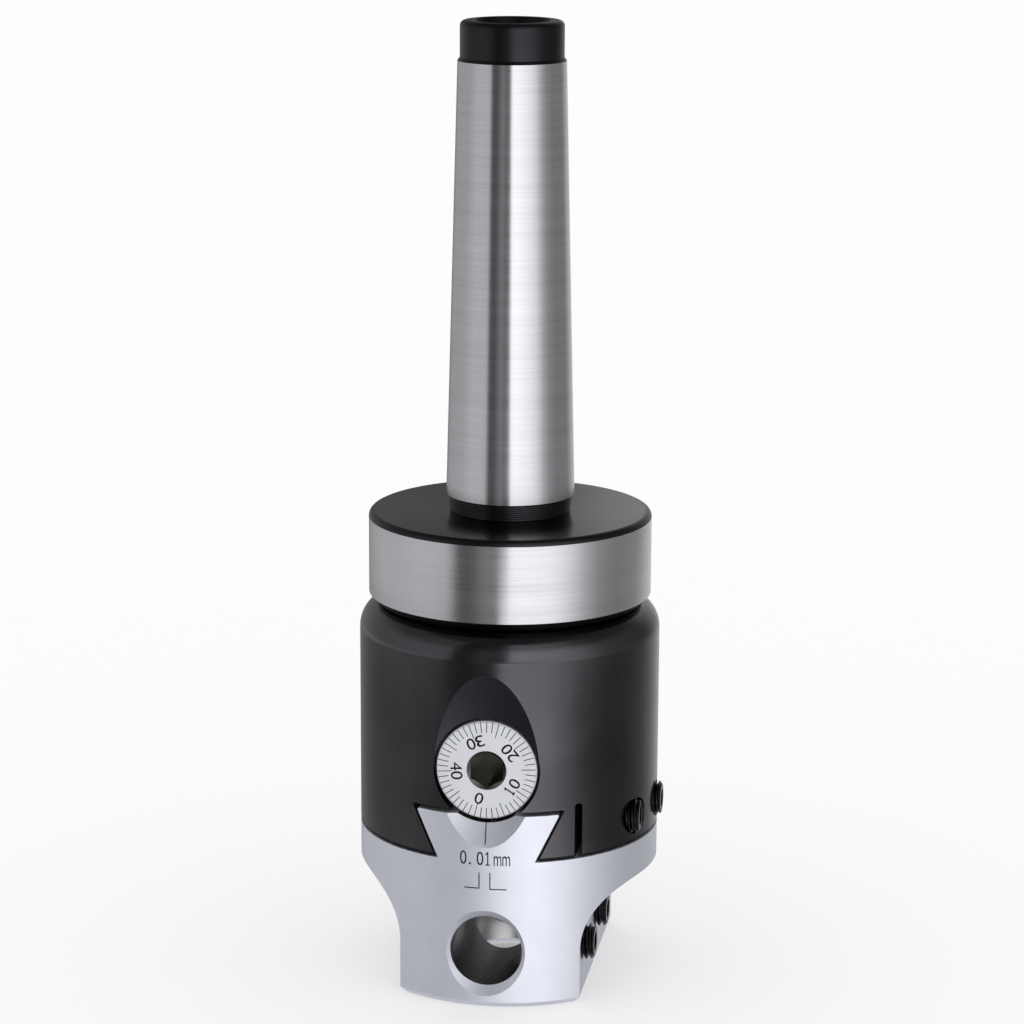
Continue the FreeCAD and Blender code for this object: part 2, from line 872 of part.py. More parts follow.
def make_set_screw(name, length, end, along, height):
    """A socket set screw pointing inwards. Its own origin is the middle of its outer end."""
    body = new_body(name)
    profile = [
        (-length, 0.0),
        (-length, s.set_screw_radius - s.set_screw_point),
        (s.set_screw_point - length, s.set_screw_radius),
        (-s.set_screw_edge, s.set_screw_radius),
        (0.0, s.set_screw_radius - s.set_screw_edge),
        (0.0, 0.0),
    ]
    revolve(body, "turned_form", "XZ_Plane", profile, "H_Axis")
    pocket(
        body,
        "hex_socket",
        "YZ_Plane",
        lambda sketch: draw_hexagon(sketch, s.set_screw_hex),
        depth=s.set_screw_hex_depth,
    )
    place(body, end, along, height)
    return body


def make_all():
    pieces = [
        make_arbor(),
        make_head_body(),
        make_bar_slide(),
        make_dial_screw(),
        make_thrust_washer(
            "front_thrust_washer",
            s.front_washer_radius,
            s.front_journal_radius + s.bearing_clearance,
            pocket_floor - s.washer_thickness,
        ),
        make_thrust_washer(
            "rear_thrust_washer",
            s.rear_washer_radius,
            s.rear_journal_radius + s.bearing_clearance,
            rear_floor,
        ),
        make_round_nut("take_up_nut", s.take_up_nut_thickness, take_up_face),
        make_round_nut("lock_nut", s.lock_nut_thickness, lock_face),
        make_lead_nut(),
    ]
    gib_screws = (
        ("gib_screw_front", gib_outer_end, -s.gib_screw_spacing),
        ("gib_screw_middle", gib_middle_end, as_size(0.0)),
        ("gib_screw_rear", gib_outer_end, s.gib_screw_spacing),
    )
    for name, end, along in gib_screws:
        pieces.append(make_set_screw(name, end - gib_tip, end, along, gib_screw_height))
    bar_screws = (
        ("bar_screw_front", bar_screw_front),
        ("bar_screw_centre", as_size(0.0)),
    )
    for name, along in bar_screws:
        pieces.append(
            make_set_screw(name, s.bar_screw_length, bar_screw_end, along, s.cross_bore_height)
        )
    return pieces


def check_document(pieces):
    """Stops unless every feature was rebuilt and every piece is one valid solid."""
    for item in doc.Objects:
        if "Invalid" in item.State or "Error" in item.State:
            raise RuntimeError(f"{item.Label} was not rebuilt: {item.State}")
    for body in pieces:
        shape = body.Shape
        if shape.isNull() or not shape.isValid() or len(shape.Solids) != 1:
            raise RuntimeError(f"{body.Label} is not one valid solid")


pieces = make_all()
doc.recompute()
check_document(pieces)
os.makedirs("parts", exist_ok=True)
for body in pieces:
    body.Shape.exportStep(f"parts/{body.Label}.step")
    print(body.Label, round(body.Shape.Volume, 1), "mm3")
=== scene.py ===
import math
import bmesh
import bpy
from mathutils import Matrix, Vector


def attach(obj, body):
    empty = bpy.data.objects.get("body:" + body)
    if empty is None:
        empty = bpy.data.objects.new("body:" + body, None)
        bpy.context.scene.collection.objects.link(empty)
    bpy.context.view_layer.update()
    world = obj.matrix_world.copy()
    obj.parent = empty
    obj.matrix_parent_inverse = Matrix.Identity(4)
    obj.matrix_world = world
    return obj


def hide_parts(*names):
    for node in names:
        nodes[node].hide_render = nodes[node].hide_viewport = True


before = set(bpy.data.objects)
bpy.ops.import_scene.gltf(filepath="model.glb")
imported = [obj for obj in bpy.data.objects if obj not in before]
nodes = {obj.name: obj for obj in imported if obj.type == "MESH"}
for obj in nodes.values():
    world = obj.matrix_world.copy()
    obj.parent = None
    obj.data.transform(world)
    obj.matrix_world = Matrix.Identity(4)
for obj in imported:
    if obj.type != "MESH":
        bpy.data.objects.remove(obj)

# A small boring head on its taper arbor. Lengths are in millimetres unless a name ends in _m,
# and MM turns them to Blender's metres. The dial faces -Y and the shank points up.

MM = 0.001
FULL_TURN = 2 * math.pi
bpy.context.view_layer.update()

# The arbor, by height above the slide's bottom face
SPIGOT_END = 41.7
BODY_TOP = 53.2
COLLAR_TOP = 65.8
NECK_TOP = 68.2
TAPER_TOP = 128.0
TIP_TOP = 133.4
SPIGOT_RADIUS = 15.0
SPIGOT_CHAMFER = 1.0
COLLAR_RADIUS = 19.7
COLLAR_CHAMFER = 1.1
COLLAR_ROUND = 0.8
BAND_TOP = 65.0
NECK_TOP_RADIUS = 8.65
NECK_FOOT_RADIUS = 8.35
NECK_UNDERCUT = 0.25
NECK_RIDGES = 8
RIDGE_DEPTH = 0.07
TAPER_BIG_RADIUS = 8.92
TAPER_PER_SIDE = 0.024975
TIP_RADIUS = 7.1
TIP_FLARE = 0.45
TIP_ROUND = 0.75
DRAWBAR_CORE = 4.25
DRAWBAR_DEPTH = 22.0
DRAWBAR_DRILL_POINT = 2.5
DRAWBAR_COUNTERSINK = 5.3
DRAWBAR_THREAD_RADIUS = 5.0
DRAWBAR_PITCH = 1.5

# The body, the slide and the dial. The lead screw lies along Y at SCREW_HEIGHT, and the relief
# above the dial and the scoop below it are shallow cones round it, with their reach at the
# head's front and how fast that narrows with depth.
BODY_RADIUS = 21.0
SCREW_HEIGHT = 33.8
DIAL_FACE = -19.9
DIAL_RADIUS = 6.9
DIAL_SEAT = 7.35
DIVISIONS = 50
ZERO_DIVISION = -2
GROOVE_TOP = 28.2
GROOVE_TOP_HALF = 10.2
GROOVE_SLOPE = math.tan(math.radians(26.0))
SLIT_INNER = 10.3
SLIT_OUTER = 14.0
SLIT_TOP = 29.0
SHOULDER = 21.0
RELIEF_REACH = 13.66
RELIEF_SLOPE = 5.0
SCOOP_REACH = 10.7
SCOOP_SLOPE = 3.5
BORE_RADIUS = 5.0
CROSS_BORE_HEIGHT = 7.9
DIAL_SOCKET = 2.7
SOCKET_MOUTH = 1.0
LEAD = 0.5
# The dial's seat and its socket lie before these places along Y
BEHIND_SEAT = -10.0
BEHIND_SOCKET = -12.0

# The set screws are M5, with a hexagon socket of 2.5 mm
SET_SCREW_RADIUS = 2.5
SET_SCREW_PITCH = 0.8
SET_SCREW_POINT = 0.7
SET_SCREW_CHAMFER = 0.45
SET_SCREW_FLATS = 2.5
SET_SCREW_SOCKET = 2.6

# A face within NEAR of a surface counts as part of it, and a point within RIGHT_ON lies on it
NEAR = 0.02
RIGHT_ON = 0.003
# Points closer than this are merged, and one closer than the next to a cutting plane lies on it
MERGED_M = 1e-7
ON_PLANE_M = 1e-8
# Two directions whose dot product is above this are taken as the same
SAME_WAY = 0.97


def colour(hexadecimal):
    """An sRGB hex colour as the linear numbers that a shader takes."""
    parts = [int(hexadecimal[i:i + 2], 16) / 255 for i in (1, 3, 5)]
    return [c / 12.92 if c <= 0.04045 else ((c + 0.055) / 1.055) ** 2.4 for c in parts] + [1.0]


def add_node(tree, kind, settings=None, inputs=None):
    """Adds one node. An input is a plain value, or another node's output to be joined to it."""
    node = tree.nodes.new(kind)
    for name, value in (settings or {}).items():
        setattr(node, name, value)
    for name, value in (inputs or {}).items():
        if isinstance(value, bpy.types.NodeSocket):
            tree.links.new(value, node.inputs[name])
        else:
            node.inputs[name].default_value = value
    return node


def new_material(name):
    """A material with an empty node tree."""
    material = bpy.data.materials.new(name)
    material.use_nodes = True
    material.node_tree.nodes.clear()
    return material, material.node_tree


def pattern_scale(size_mm, stretch=(1.0, 1.0, 1.0)):
    """The scale that makes a pattern's spots size_mm across, drawn out along some axes."""
    return [1.0 / (factor * size_mm * MM) for factor in stretch]


# The colour sockets of a Mix node, by number, because its number sockets share their names
LOW, HIGH, MIXED = 6, 7, 2


def ground_steel():
    """Ground bright steel. The wheel leaves fine rings round the axis, which draw each reflection
    out along the shank and keep its sides crisp, with a few rings that catch more light."""
    material, tree = new_material("ground_bright_steel")
    places = add_node(tree, "ShaderNodeTexCoord").outputs["Object"]
    # Real grinding rings are a few hundredths of a millimetre apart; drawn coarser to show
    fine_place = add_node(tree, "ShaderNodeMapping", inputs={
        "Vector": places, "Scale": pattern_scale(0.22, (60.0, 60.0, 1.0))})
    fine = add_node(tree, "ShaderNodeTexNoise", inputs={
        "Vector": fine_place.outputs["Vector"], "Scale": 1.0, "Detail": 3.0})
    broad_place = add_node(tree, "ShaderNodeMapping", inputs={
        "Vector": places, "Scale": pattern_scale(1.6, (30.0, 30.0, 1.0))})
    broad = add_node(tree, "ShaderNodeTexNoise", inputs={
        "Vector": broad_place.outputs["Vector"], "Scale": 1.0, "Detail": 2.0})
    rings = add_node(tree, "ShaderNodeMath", {"operation": "ADD"}, {
        0: fine.outputs["Fac"], 1: broad.outputs["Fac"]})
    share = add_node(tree, "ShaderNodeMapRange", inputs={
        "Value": rings.outputs[0], "From Min": 0.7, "From Max": 1.3})
    tint = add_node(tree, "ShaderNodeMix", {"data_type": "RGBA"}, {
        "Factor": share.outputs["Result"], LOW: colour("#c6c4c8"), HIGH: colour("#d3d1d6")})
    roughness = add_node(tree, "ShaderNodeMapRange", inputs={
        "Value": rings.outputs[0], "From Min": 0.7, "From Max": 1.3,
        "To Min": 0.19, "To Max": 0.24})
    bump = add_node(tree, "ShaderNodeBump", inputs={
        "Strength": 0.06, "Distance": 0.02 * MM, "Height": fine.outputs["Fac"]})
    around = add_node(tree, "ShaderNodeTangent", {"direction_type": "RADIAL", "axis": "Z"})
    shader = add_node(tree, "ShaderNodeBsdfPrincipled", inputs={
        "Base Color": tint.outputs[MIXED],
        "Metallic": 1.0,
        "Roughness": roughness.outputs["Result"],
        "Anisotropic": 0.75,
        "Anisotropic Rotation": 0.25,
        "Tangent": around.outputs["Tangent"],
        "Normal": bump.outputs["Normal"]})
    add_node(tree, "ShaderNodeOutputMaterial", inputs={"Surface": shader.outputs["BSDF"]})
    return material


def black_oxide(name, dark, light, smooth, rough):
    """Black oxide on a turned and lapped body: a thin dark skin over bright metal, so it stays
    satin, with a faint violet cast and a slight cloudiness where the bath took unevenly. Where
    the steel under it was milled, the skin is darker and duller."""
    material, tree = new_material(name)
    places = add_node(tree, "ShaderNodeTexCoord").outputs["Object"]
    cloud_place = add_node(tree, "ShaderNodeMapping", inputs={
        "Vector": places, "Scale": pattern_scale(9.0)})
    clouds = add_node(tree, "ShaderNodeTexNoise", inputs={
        "Vector": cloud_place.outputs["Vector"], "Scale": 1.0, "Detail": 3.0})
    ring_place = add_node(tree, "ShaderNodeMapping", inputs={
        "Vector": places, "Scale": pattern_scale(0.3, (50.0, 50.0, 1.0))})
    rings = add_node(tree, "ShaderNodeTexNoise", inputs={
        "Vector": ring_place.outputs["Vector"], "Scale": 1.0, "Detail": 2.0})
    # The skin's own grain is far finer than this, which is drawn as coarse as it shows
    grain_place = add_node(tree, "ShaderNodeMapping", inputs={
        "Vector": places, "Scale": pattern_scale(0.12)})
    grain = add_node(tree, "ShaderNodeTexNoise", inputs={
        "Vector": grain_place.outputs["Vector"], "Scale": 1.0, "Detail": 2.0})
    uneven = add_node(tree, "ShaderNodeMath", {"operation": "ADD"}, {
        0: clouds.outputs["Fac"], 1: rings.outputs["Fac"]})
    share = add_node(tree, "ShaderNodeMapRange", inputs={
        "Value": clouds.outputs["Fac"], "From Min": 0.3, "From Max": 0.7})
    tint = add_node(tree, "ShaderNodeMix", {"data_type": "RGBA"}, {
        "Factor": share.outputs["Result"], LOW: colour(dark), HIGH: colour(light)})
    roughness = add_node(tree, "ShaderNodeMapRange", inputs={
        "Value": uneven.outputs[0], "From Min": 0.7, "From Max": 1.3,
        "To Min": smooth, "To Max": rough})
    bump = add_node(tree, "ShaderNodeBump", inputs={
        "Strength": 0.08, "Distance": 0.01 * MM, "Height": grain.outputs["Fac"]})
    shader = add_node(tree, "ShaderNodeBsdfPrincipled", inputs={
        "Base Color": tint.outputs[MIXED],
        "Metallic": 1.0,
        "Roughness": roughness.outputs["Result"],
        "Normal": bump.outputs["Normal"]})
    add_node(tree, "ShaderNodeOutputMaterial", inputs={"Surface": shader.outputs["BSDF"]})
    return material


def blackened_turning(name, smooth, rough):
    """The arbor's blackened parts: a duller, denser black than the body's, over fine turned
    rings that draw a glint out across them, as on the collar's top."""
    material, tree = new_material(name)
    places = add_node(tree, "ShaderNodeTexCoord").outputs["Object"]
    flat = add_node(tree, "ShaderNodeVectorMath", {"operation": "MULTIPLY"}, {
        0: places, 1: (1.0, 1.0, 0.0)})
    radius = add_node(tree, "ShaderNodeVectorMath", {"operation": "LENGTH"}, {
        0: flat.outputs["Vector"]})
    height = add_node(tree, "ShaderNodeSeparateXYZ", inputs={"Vector": places})
    across = add_node(tree, "ShaderNodeMath", {"operation": "ADD"}, {
        0: radius.outputs["Value"], 1: height.outputs["Z"]})
    line = add_node(tree, "ShaderNodeCombineXYZ", inputs={"X": across.outputs[0]})
    # The tool's feed is about 0.1 mm a turn; drawn coarser to show
    ring_place = add_node(tree, "ShaderNodeMapping", inputs={
        "Vector": line.outputs["Vector"], "Scale": pattern_scale(0.25)})
    rings = add_node(tree, "ShaderNodeTexNoise", inputs={
        "Vector": ring_place.outputs["Vector"], "Scale": 1.0, "Detail": 2.0})
    cloud_place = add_node(tree, "ShaderNodeMapping", inputs={
        "Vector": places, "Scale": pattern_scale(5.0)})
    clouds = add_node(tree, "ShaderNodeTexNoise", inputs={
        "Vector": cloud_place.outputs["Vector"], "Scale": 1.0, "Detail": 3.0})
    tint = add_node(tree, "ShaderNodeMix", {"data_type": "RGBA"}, {
        "Factor": clouds.outputs["Fac"], LOW: colour("#302f33"), HIGH: colour("#3c3b3f")})
    roughness = add_node(tree, "ShaderNodeMapRange", inputs={
        "Value": rings.outputs["Fac"], "To Min": smooth, "To Max": rough})
    bump = add_node(tree, "ShaderNodeBump", inputs={
        "Strength": 0.12, "Distance": 0.02 * MM, "Height": rings.outputs["Fac"]})
    around = add_node(tree, "ShaderNodeTangent", {"direction_type": "RADIAL", "axis": "Z"})
    shader = add_node(tree, "ShaderNodeBsdfPrincipled", inputs={
        "Base Color": tint.outputs[MIXED],
        "Metallic": 1.0,
        "Roughness": roughness.outputs["Result"],
        "Anisotropic": 0.5,
        "Anisotropic Rotation": 0.25,
        "Tangent": around.outputs["Tangent"],
        "Normal": bump.outputs["Normal"]})
    add_node(tree, "ShaderNodeOutputMaterial", inputs={"Surface": shader.outputs["BSDF"]})
    return material


def satin_chrome(name, low, high, smooth, rough, metallic):
    """Satin chrome plate: nearly white metal, blasted before plating, so its glints are broad
    and soft, with a share of light that it scatters evenly, and a fine grain close to."""
    material, tree = new_material(name)
    places = add_node(tree, "ShaderNodeTexCoord").outputs["Object"]
    # Blasted grain is about 0.03 mm; drawn at 0.15 mm to show
    grain_place = add_node(tree, "ShaderNodeMapping", inputs={
        "Vector": places, "Scale": pattern_scale(0.15)})
    grain = add_node(tree, "ShaderNodeTexNoise", inputs={
        "Vector": grain_place.outputs["Vector"], "Scale": 1.0, "Detail": 2.0})
    cloud_place = add_node(tree, "ShaderNodeMapping", inputs={
        "Vector": places, "Scale": pattern_scale(4.0)})
    clouds = add_node(tree, "ShaderNodeTexNoise", inputs={
        "Vector": cloud_place.outputs["Vector"], "Scale": 1.0, "Detail": 2.0})
    tint = add_node(tree, "ShaderNodeMix", {"data_type": "RGBA"}, {
        "Factor": clouds.outputs["Fac"], LOW: colour(low), HIGH: colour(high)})
    roughness = add_node(tree, "ShaderNodeMapRange", inputs={
        "Value": grain.outputs["Fac"], "To Min": smooth, "To Max": rough})
    bump = add_node(tree, "ShaderNodeBump", inputs={
        "Strength": 0.18, "Distance": 0.015 * MM, "Height": grain.outputs["Fac"]})
    shader = add_node(tree, "ShaderNodeBsdfPrincipled", inputs={
        "Base Color": tint.outputs[MIXED],
        "Metallic": metallic,
        "Roughness": roughness.outputs["Result"],
        "Normal": bump.outputs["Normal"]})
    add_node(tree, "ShaderNodeOutputMaterial", inputs={"Surface": shader.outputs["BSDF"]})
    return material


def flat_black(name):
    """A flat, slightly uneven black: the paint wiped into the engraving, and painted shade laid
    into the head's narrow gaps and hollows where shade falls, which reads as a black line."""
    material, tree = new_material(name)
    places = add_node(tree, "ShaderNodeTexCoord").outputs["Object"]
    speck_place = add_node(tree, "ShaderNodeMapping", inputs={
        "Vector": places, "Scale": pattern_scale(0.2)})
    specks = add_node(tree, "ShaderNodeTexNoise", inputs={
        "Vector": speck_place.outputs["Vector"], "Scale": 1.0, "Detail": 2.0})
    tint = add_node(tree, "ShaderNodeMix", {"data_type": "RGBA"}, {
        "Factor": specks.outputs["Fac"], LOW: colour("#0c0c0e"), HIGH: colour("#1c1c20")})
    shader = add_node(tree, "ShaderNodeBsdfPrincipled", inputs={
        "Base Color": tint.outputs[MIXED],
        "Roughness": 0.7,
        "Specular IOR Level": 0.2})
    add_node(tree, "ShaderNodeOutputMaterial", inputs={"Surface": shader.outputs["BSDF"]})
    return material


def turned_metal(name, low, high, smooth, rough, stretch):
    """A turned or reamed piece: the tool's rings run round its own axis, which catches the light
    in fine lines. The pattern is drawn out along the two axes across that one."""
    material, tree = new_material(name)
    places = add_node(tree, "ShaderNodeTexCoord").outputs["Object"]
    # The feed is about 0.05 mm a turn; drawn at 0.2 mm to show
    ring_place = add_node(tree, "ShaderNodeMapping", inputs={
        "Vector": places, "Scale": pattern_scale(0.2, stretch)})
    rings = add_node(tree, "ShaderNodeTexNoise", inputs={
        "Vector": ring_place.outputs["Vector"], "Scale": 1.0, "Detail": 2.0})
    cloud_place = add_node(tree, "ShaderNodeMapping", inputs={
        "Vector": places, "Scale": pattern_scale(2.5)})
    clouds = add_node(tree, "ShaderNodeTexNoise", inputs={
        "Vector": cloud_place.outputs["Vector"], "Scale": 1.0, "Detail": 2.0})
    tint = add_node(tree, "ShaderNodeMix", {"data_type": "RGBA"}, {
        "Factor": clouds.outputs["Fac"], LOW: colour(low), HIGH: colour(high)})
    roughness = add_node(tree, "ShaderNodeMapRange", inputs={
        "Value": rings.outputs["Fac"], "To Min": smooth, "To Max": rough})
    bump = add_node(tree, "ShaderNodeBump", inputs={
        "Strength": 0.2, "Distance": 0.02 * MM, "Height": rings.outputs["Fac"]})
    shader = add_node(tree, "ShaderNodeBsdfPrincipled", inputs={
        "Base Color": tint.outputs[MIXED],
        "Metallic": 1.0,
        "Roughness": roughness.outputs["Result"],
        "Normal": bump.outputs["Normal"]})
    add_node(tree, "ShaderNodeOutputMaterial", inputs={"Surface": shader.outputs["BSDF"]})
    return material


# The axis that a piece's rings run round. Their pattern is drawn out along the other two. The
# scoop was milled before it was plated, and its rings still show, closer together.
ROUND_X = (1.0, 40.0, 40.0)
ROUND_Y = (40.0, 1.0, 40.0)
ROUND_Z = (40.0, 40.0, 1.0)
MILLED_ROUND_Y = (40.0, 0.5, 40.0)

ground = ground_steel()
blackened = blackened_turning("blackened_turned_steel", 0.32, 0.42)
faced = blackened_turning("blackened_faced_steel", 0.18, 0.24)
oxide = black_oxide("black_oxide_on_steel", "#4e4c50", "#585559", 0.16, 0.23)
milled_oxide = black_oxide("black_oxide_on_milled_steel", "#37383c", "#404144", 0.3, 0.38)
slide_chrome = satin_chrome("satin_chrome_plate", "#e9ebf5", "#f3f5ff", 0.47, 0.56, 0.85)
dial_chrome = satin_chrome("dial_satin_chrome", "#ebecf2", "#f5f6fa", 0.58, 0.68, 0.7)
paint = flat_black("black_marking_paint")
# A flat black for the head's narrow gaps and hollows: painted shade
black_for_shade = flat_black("painted_shade_flat_black")
bronze = turned_metal("turned_bronze", "#b98a4a", "#caa062", 0.26, 0.36, ROUND_Y)
nut_steel = turned_metal("oiled_turned_steel", "#8a8a8c", "#9a9a9c", 0.25, 0.35, ROUND_Y)
# Reamed steel darkened as painted shade, for the deep cross bore and the narrow gap round the
# dial's seat
shaded_bore_steel = turned_metal("reamed_steel_painted_shade", "#636263", "#7a797a", 0.24, 0.34, ROUND_Y)
centre_bored = turned_metal("reamed_centre_bore_steel", "#b2b2b4", "#c8c8ca", 0.28, 0.4, ROUND_Z)
# Steel in the dial's hexagon socket, darkened as painted shade for the depth of the hole
socket_shade_steel = turned_metal("socket_steel_painted_shade", "#4c4a42", "#636057", 0.2, 0.3, ROUND_Y)
countersunk = turned_metal("countersunk_steel", "#77777a", "#8c8c90", 0.28, 0.38, ROUND_Y)
scooped = turned_metal("milled_satin_chrome", "#e2e4ef", "#f3f5ff", 0.42, 0.52, MILLED_ROUND_Y)
screw_steel = turned_metal("black_oxide_screw_steel", "#2c2b2f", "#3a393e", 0.22, 0.32, ROUND_X)


def new_piece(name, bm, materials):
    """Makes an object of a bmesh, which it frees. The place is in the mesh."""
    mesh = bpy.data.meshes.new(name)
    bm.to_mesh(mesh)
    bm.free()
    piece = bpy.data.objects.new(name, mesh)
    bpy.context.scene.collection.objects.link(piece)
    for material in materials:
        mesh.materials.append(material)
    # A CAD node's mesh brings normals of its own, which don't fit it once it is changed
    if mesh.has_custom_normals:
        mesh.attributes.remove(mesh.attributes["custom_normal"])
    return piece


def turned(outline, steps=144, ring=False):
    """A turned shape: the outline's radii and heights, spun once round Z. Its ends lie on the axis,
    or meet each other where it is a ring."""
    bm = bmesh.new()
    corners = [bm.verts.new((radius * MM, 0, height * MM)) for radius, height in outline]
    if ring:
        corners.append(corners[0])
    for pair in zip(corners, corners[1:]):
        bm.edges.new(pair)
    bmesh.ops.spin(bm, geom=bm.verts[:] + bm.edges[:], cent=(0, 0, 0), axis=(0, 0, 1),
                   dvec=(0, 0, 0), angle=FULL_TURN, steps=steps, use_merge=True)
    bmesh.ops.remove_doubles(bm, verts=bm.verts, dist=MERGED_M)
    bmesh.ops.recalc_face_normals(bm, faces=bm.faces)
    return bm


def round_ring(bm, radius, height, width, segments):
    """Rounds the turned edge at a radius and height."""
    near_m = 1e-6
    edges = [edge for edge in bm.edges
             if all(abs(v.co.xy.length - radius * MM) < near_m
                    and abs(v.co.z - height * MM) < near_m for v in edge.verts)]
    bmesh.ops.bevel(bm, geom=edges, offset=width * MM, offset_type="OFFSET", affect="EDGES",
                    segments=segments, profile=0.5, material=-1)


def cut(piece, cutter, how="DIFFERENCE", crossing=False):
    """Cuts one piece with another and keeps the result in its mesh. Cut faces take the cutter's
    finish. crossing is for a cutter whose own parts run into each other."""
    change = piece.modifiers.new("cut", "BOOLEAN")
    change.operation = how
    change.solver = "EXACT"
    change.material_mode = "TRANSFER"
    change.use_self = crossing
    change.object = cutter
    bpy.context.view_layer.update()
    graph = bpy.context.evaluated_depsgraph_get()
    old = piece.data
    piece.data = bpy.data.meshes.new_from_object(piece.evaluated_get(graph), depsgraph=graph)
    piece.data.name = piece.name
    piece.modifiers.clear()
    bpy.data.meshes.remove(old)
    bpy.data.objects.remove(cutter)


def shade(piece, sharp_degrees=28, true_surfaces=()):
    """Smooth shading, with edges sharper than the angle kept crisp. Each true surface says how far
    a point is from it and which way it faces there, so that its corners shade exactly."""
    mesh = piece.data
    mesh.shade_smooth()
    mesh.set_sharp_from_angle(angle=math.radians(sharp_degrees))
    if not true_surfaces:
        return
    normals = [corner.vector.copy() for corner in mesh.corner_normals]
    for face in mesh.polygons:
        points = [mesh.vertices[index].co for index in face.vertices]
        for surface in true_surfaces:
            found = [surface(point) for point in points]
            facing = surface(face.center)[1].dot(face.normal)
            if all(abs(gap) < RIGHT_ON * MM for gap, way in found) and facing > SAME_WAY:
                for corner, (gap, way) in zip(face.loop_indices, found):
                    normals[corner] = way
                break
    mesh.normals_split_custom_set(normals)


def head_outside(point):
    """The head's outer cylinder."""
    return point.xy.length - BODY_RADIUS * MM, Vector((point.x, point.y, 0)).normalized()


def dished_round_screw(reach, slope):
    """A hollow cone round the lead screw's axis, with its reach at the head's front and how fast
    that narrows with depth."""
    steep = math.hypot(1, slope)

    def surface(point):
        out = Vector((point.x, 0, point.z - SCREW_HEIGHT * MM))
        wanted = reach * MM - slope * (point.y + BODY_RADIUS * MM)
        return (out.length - wanted) / steep, (-out.normalized() - Vector((0, slope, 0))) / steep

    return surface


def stands_for(piece, node, body, slot):
    """The piece replaces a CAD node, which it hides, and moves with its body. The slot is not used.
    """
    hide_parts(node)
    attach(piece, body)


def copy_of(node, name, materials):
    """A merged copy of a CAD node's mesh, ready to be cut, engraved and shaded."""
    bm = bmesh.new()
    bm.from_mesh(nodes[node].data)
    bmesh.ops.remove_doubles(bm, verts=bm.verts, dist=MERGED_M)
    for face in bm.faces:
        face.material_index = 0
    return new_piece(name, bm, materials)


def add_finishes(piece, *finishes):
    """Adds finishes to a piece and gives their slots' numbers."""
    first = len(piece.data.materials)
    for finish in finishes:
        piece.data.materials.append(finish)
    return range(first, first + len(finishes))


def threaded_rod(radius, pitch, bottom, top, steps=40):
    """A right-hand thread along Z with closed ends, from below bottom to above top."""
    depth = 0.61 * pitch
    overrun = 0.3 * pitch
    spare_turns = 2
    bm = bmesh.new()
    corners = []
    for turn in range(math.ceil((top - bottom) / pitch) + 2 * spare_turns):
        foot = bottom + (turn - spare_turns) * pitch
        # One turn's profile, by reach and by share of the pitch: root, rising flank and crest
        for reach, rise in ((radius - depth, 0.0), (radius - depth, 0.25), (radius, 0.56),
                            (radius, 0.69)):
            corners.append(bm.verts.new((reach * MM, 0, (foot + rise * pitch) * MM)))
    for pair in zip(corners, corners[1:]):
        bm.edges.new(pair)
    bmesh.ops.spin(bm, geom=bm.verts[:] + bm.edges[:], cent=(0, 0, 0), axis=(0, 0, 1),
                   dvec=(0, 0, pitch * MM / steps), angle=FULL_TURN, steps=steps, use_merge=False)
    # A turn's end meets the next one's start less exactly than a full ring closes
    bmesh.ops.remove_doubles(bm, verts=bm.verts, dist=20 * MERGED_M)
    for height, way in ((bottom - overrun, -1), (top + overrun, 1)):
        bmesh.ops.bisect_plane(bm, geom=bm.verts[:] + bm.edges[:] + bm.faces[:],
                               dist=ON_PLANE_M, plane_co=(0, 0, height * MM),
                               plane_no=(0, 0, way), clear_outer=True)
        rim = [edge for edge in bm.edges if edge.is_boundary
               and all(abs(v.co.z - height * MM) < MERGED_M for v in edge.verts)]
        bmesh.ops.holes_fill(bm, edges=rim, sides=0)
    bmesh.ops.recalc_face_normals(bm, faces=bm.faces)
    return bm


def hexagon(across_flats, bottom, top, turn=0.0):
    """A six-sided prism along Z."""
    bm = bmesh.new()
    corner = across_flats / math.sqrt(3) * MM
    place = Matrix.Translation((0, 0, (bottom + top) / 2 * MM)) @ Matrix.Rotation(turn, 4, "Z")
    bmesh.ops.create_cone(bm, cap_ends=True, segments=6, radius1=corner, radius2=corner,
                          depth=(top - bottom) * MM, matrix=place)
    return bm


def move(bm, matrix):
    """Puts a bmesh in its place."""
    bmesh.ops.transform(bm, matrix=matrix, verts=bm.verts)
    return bm


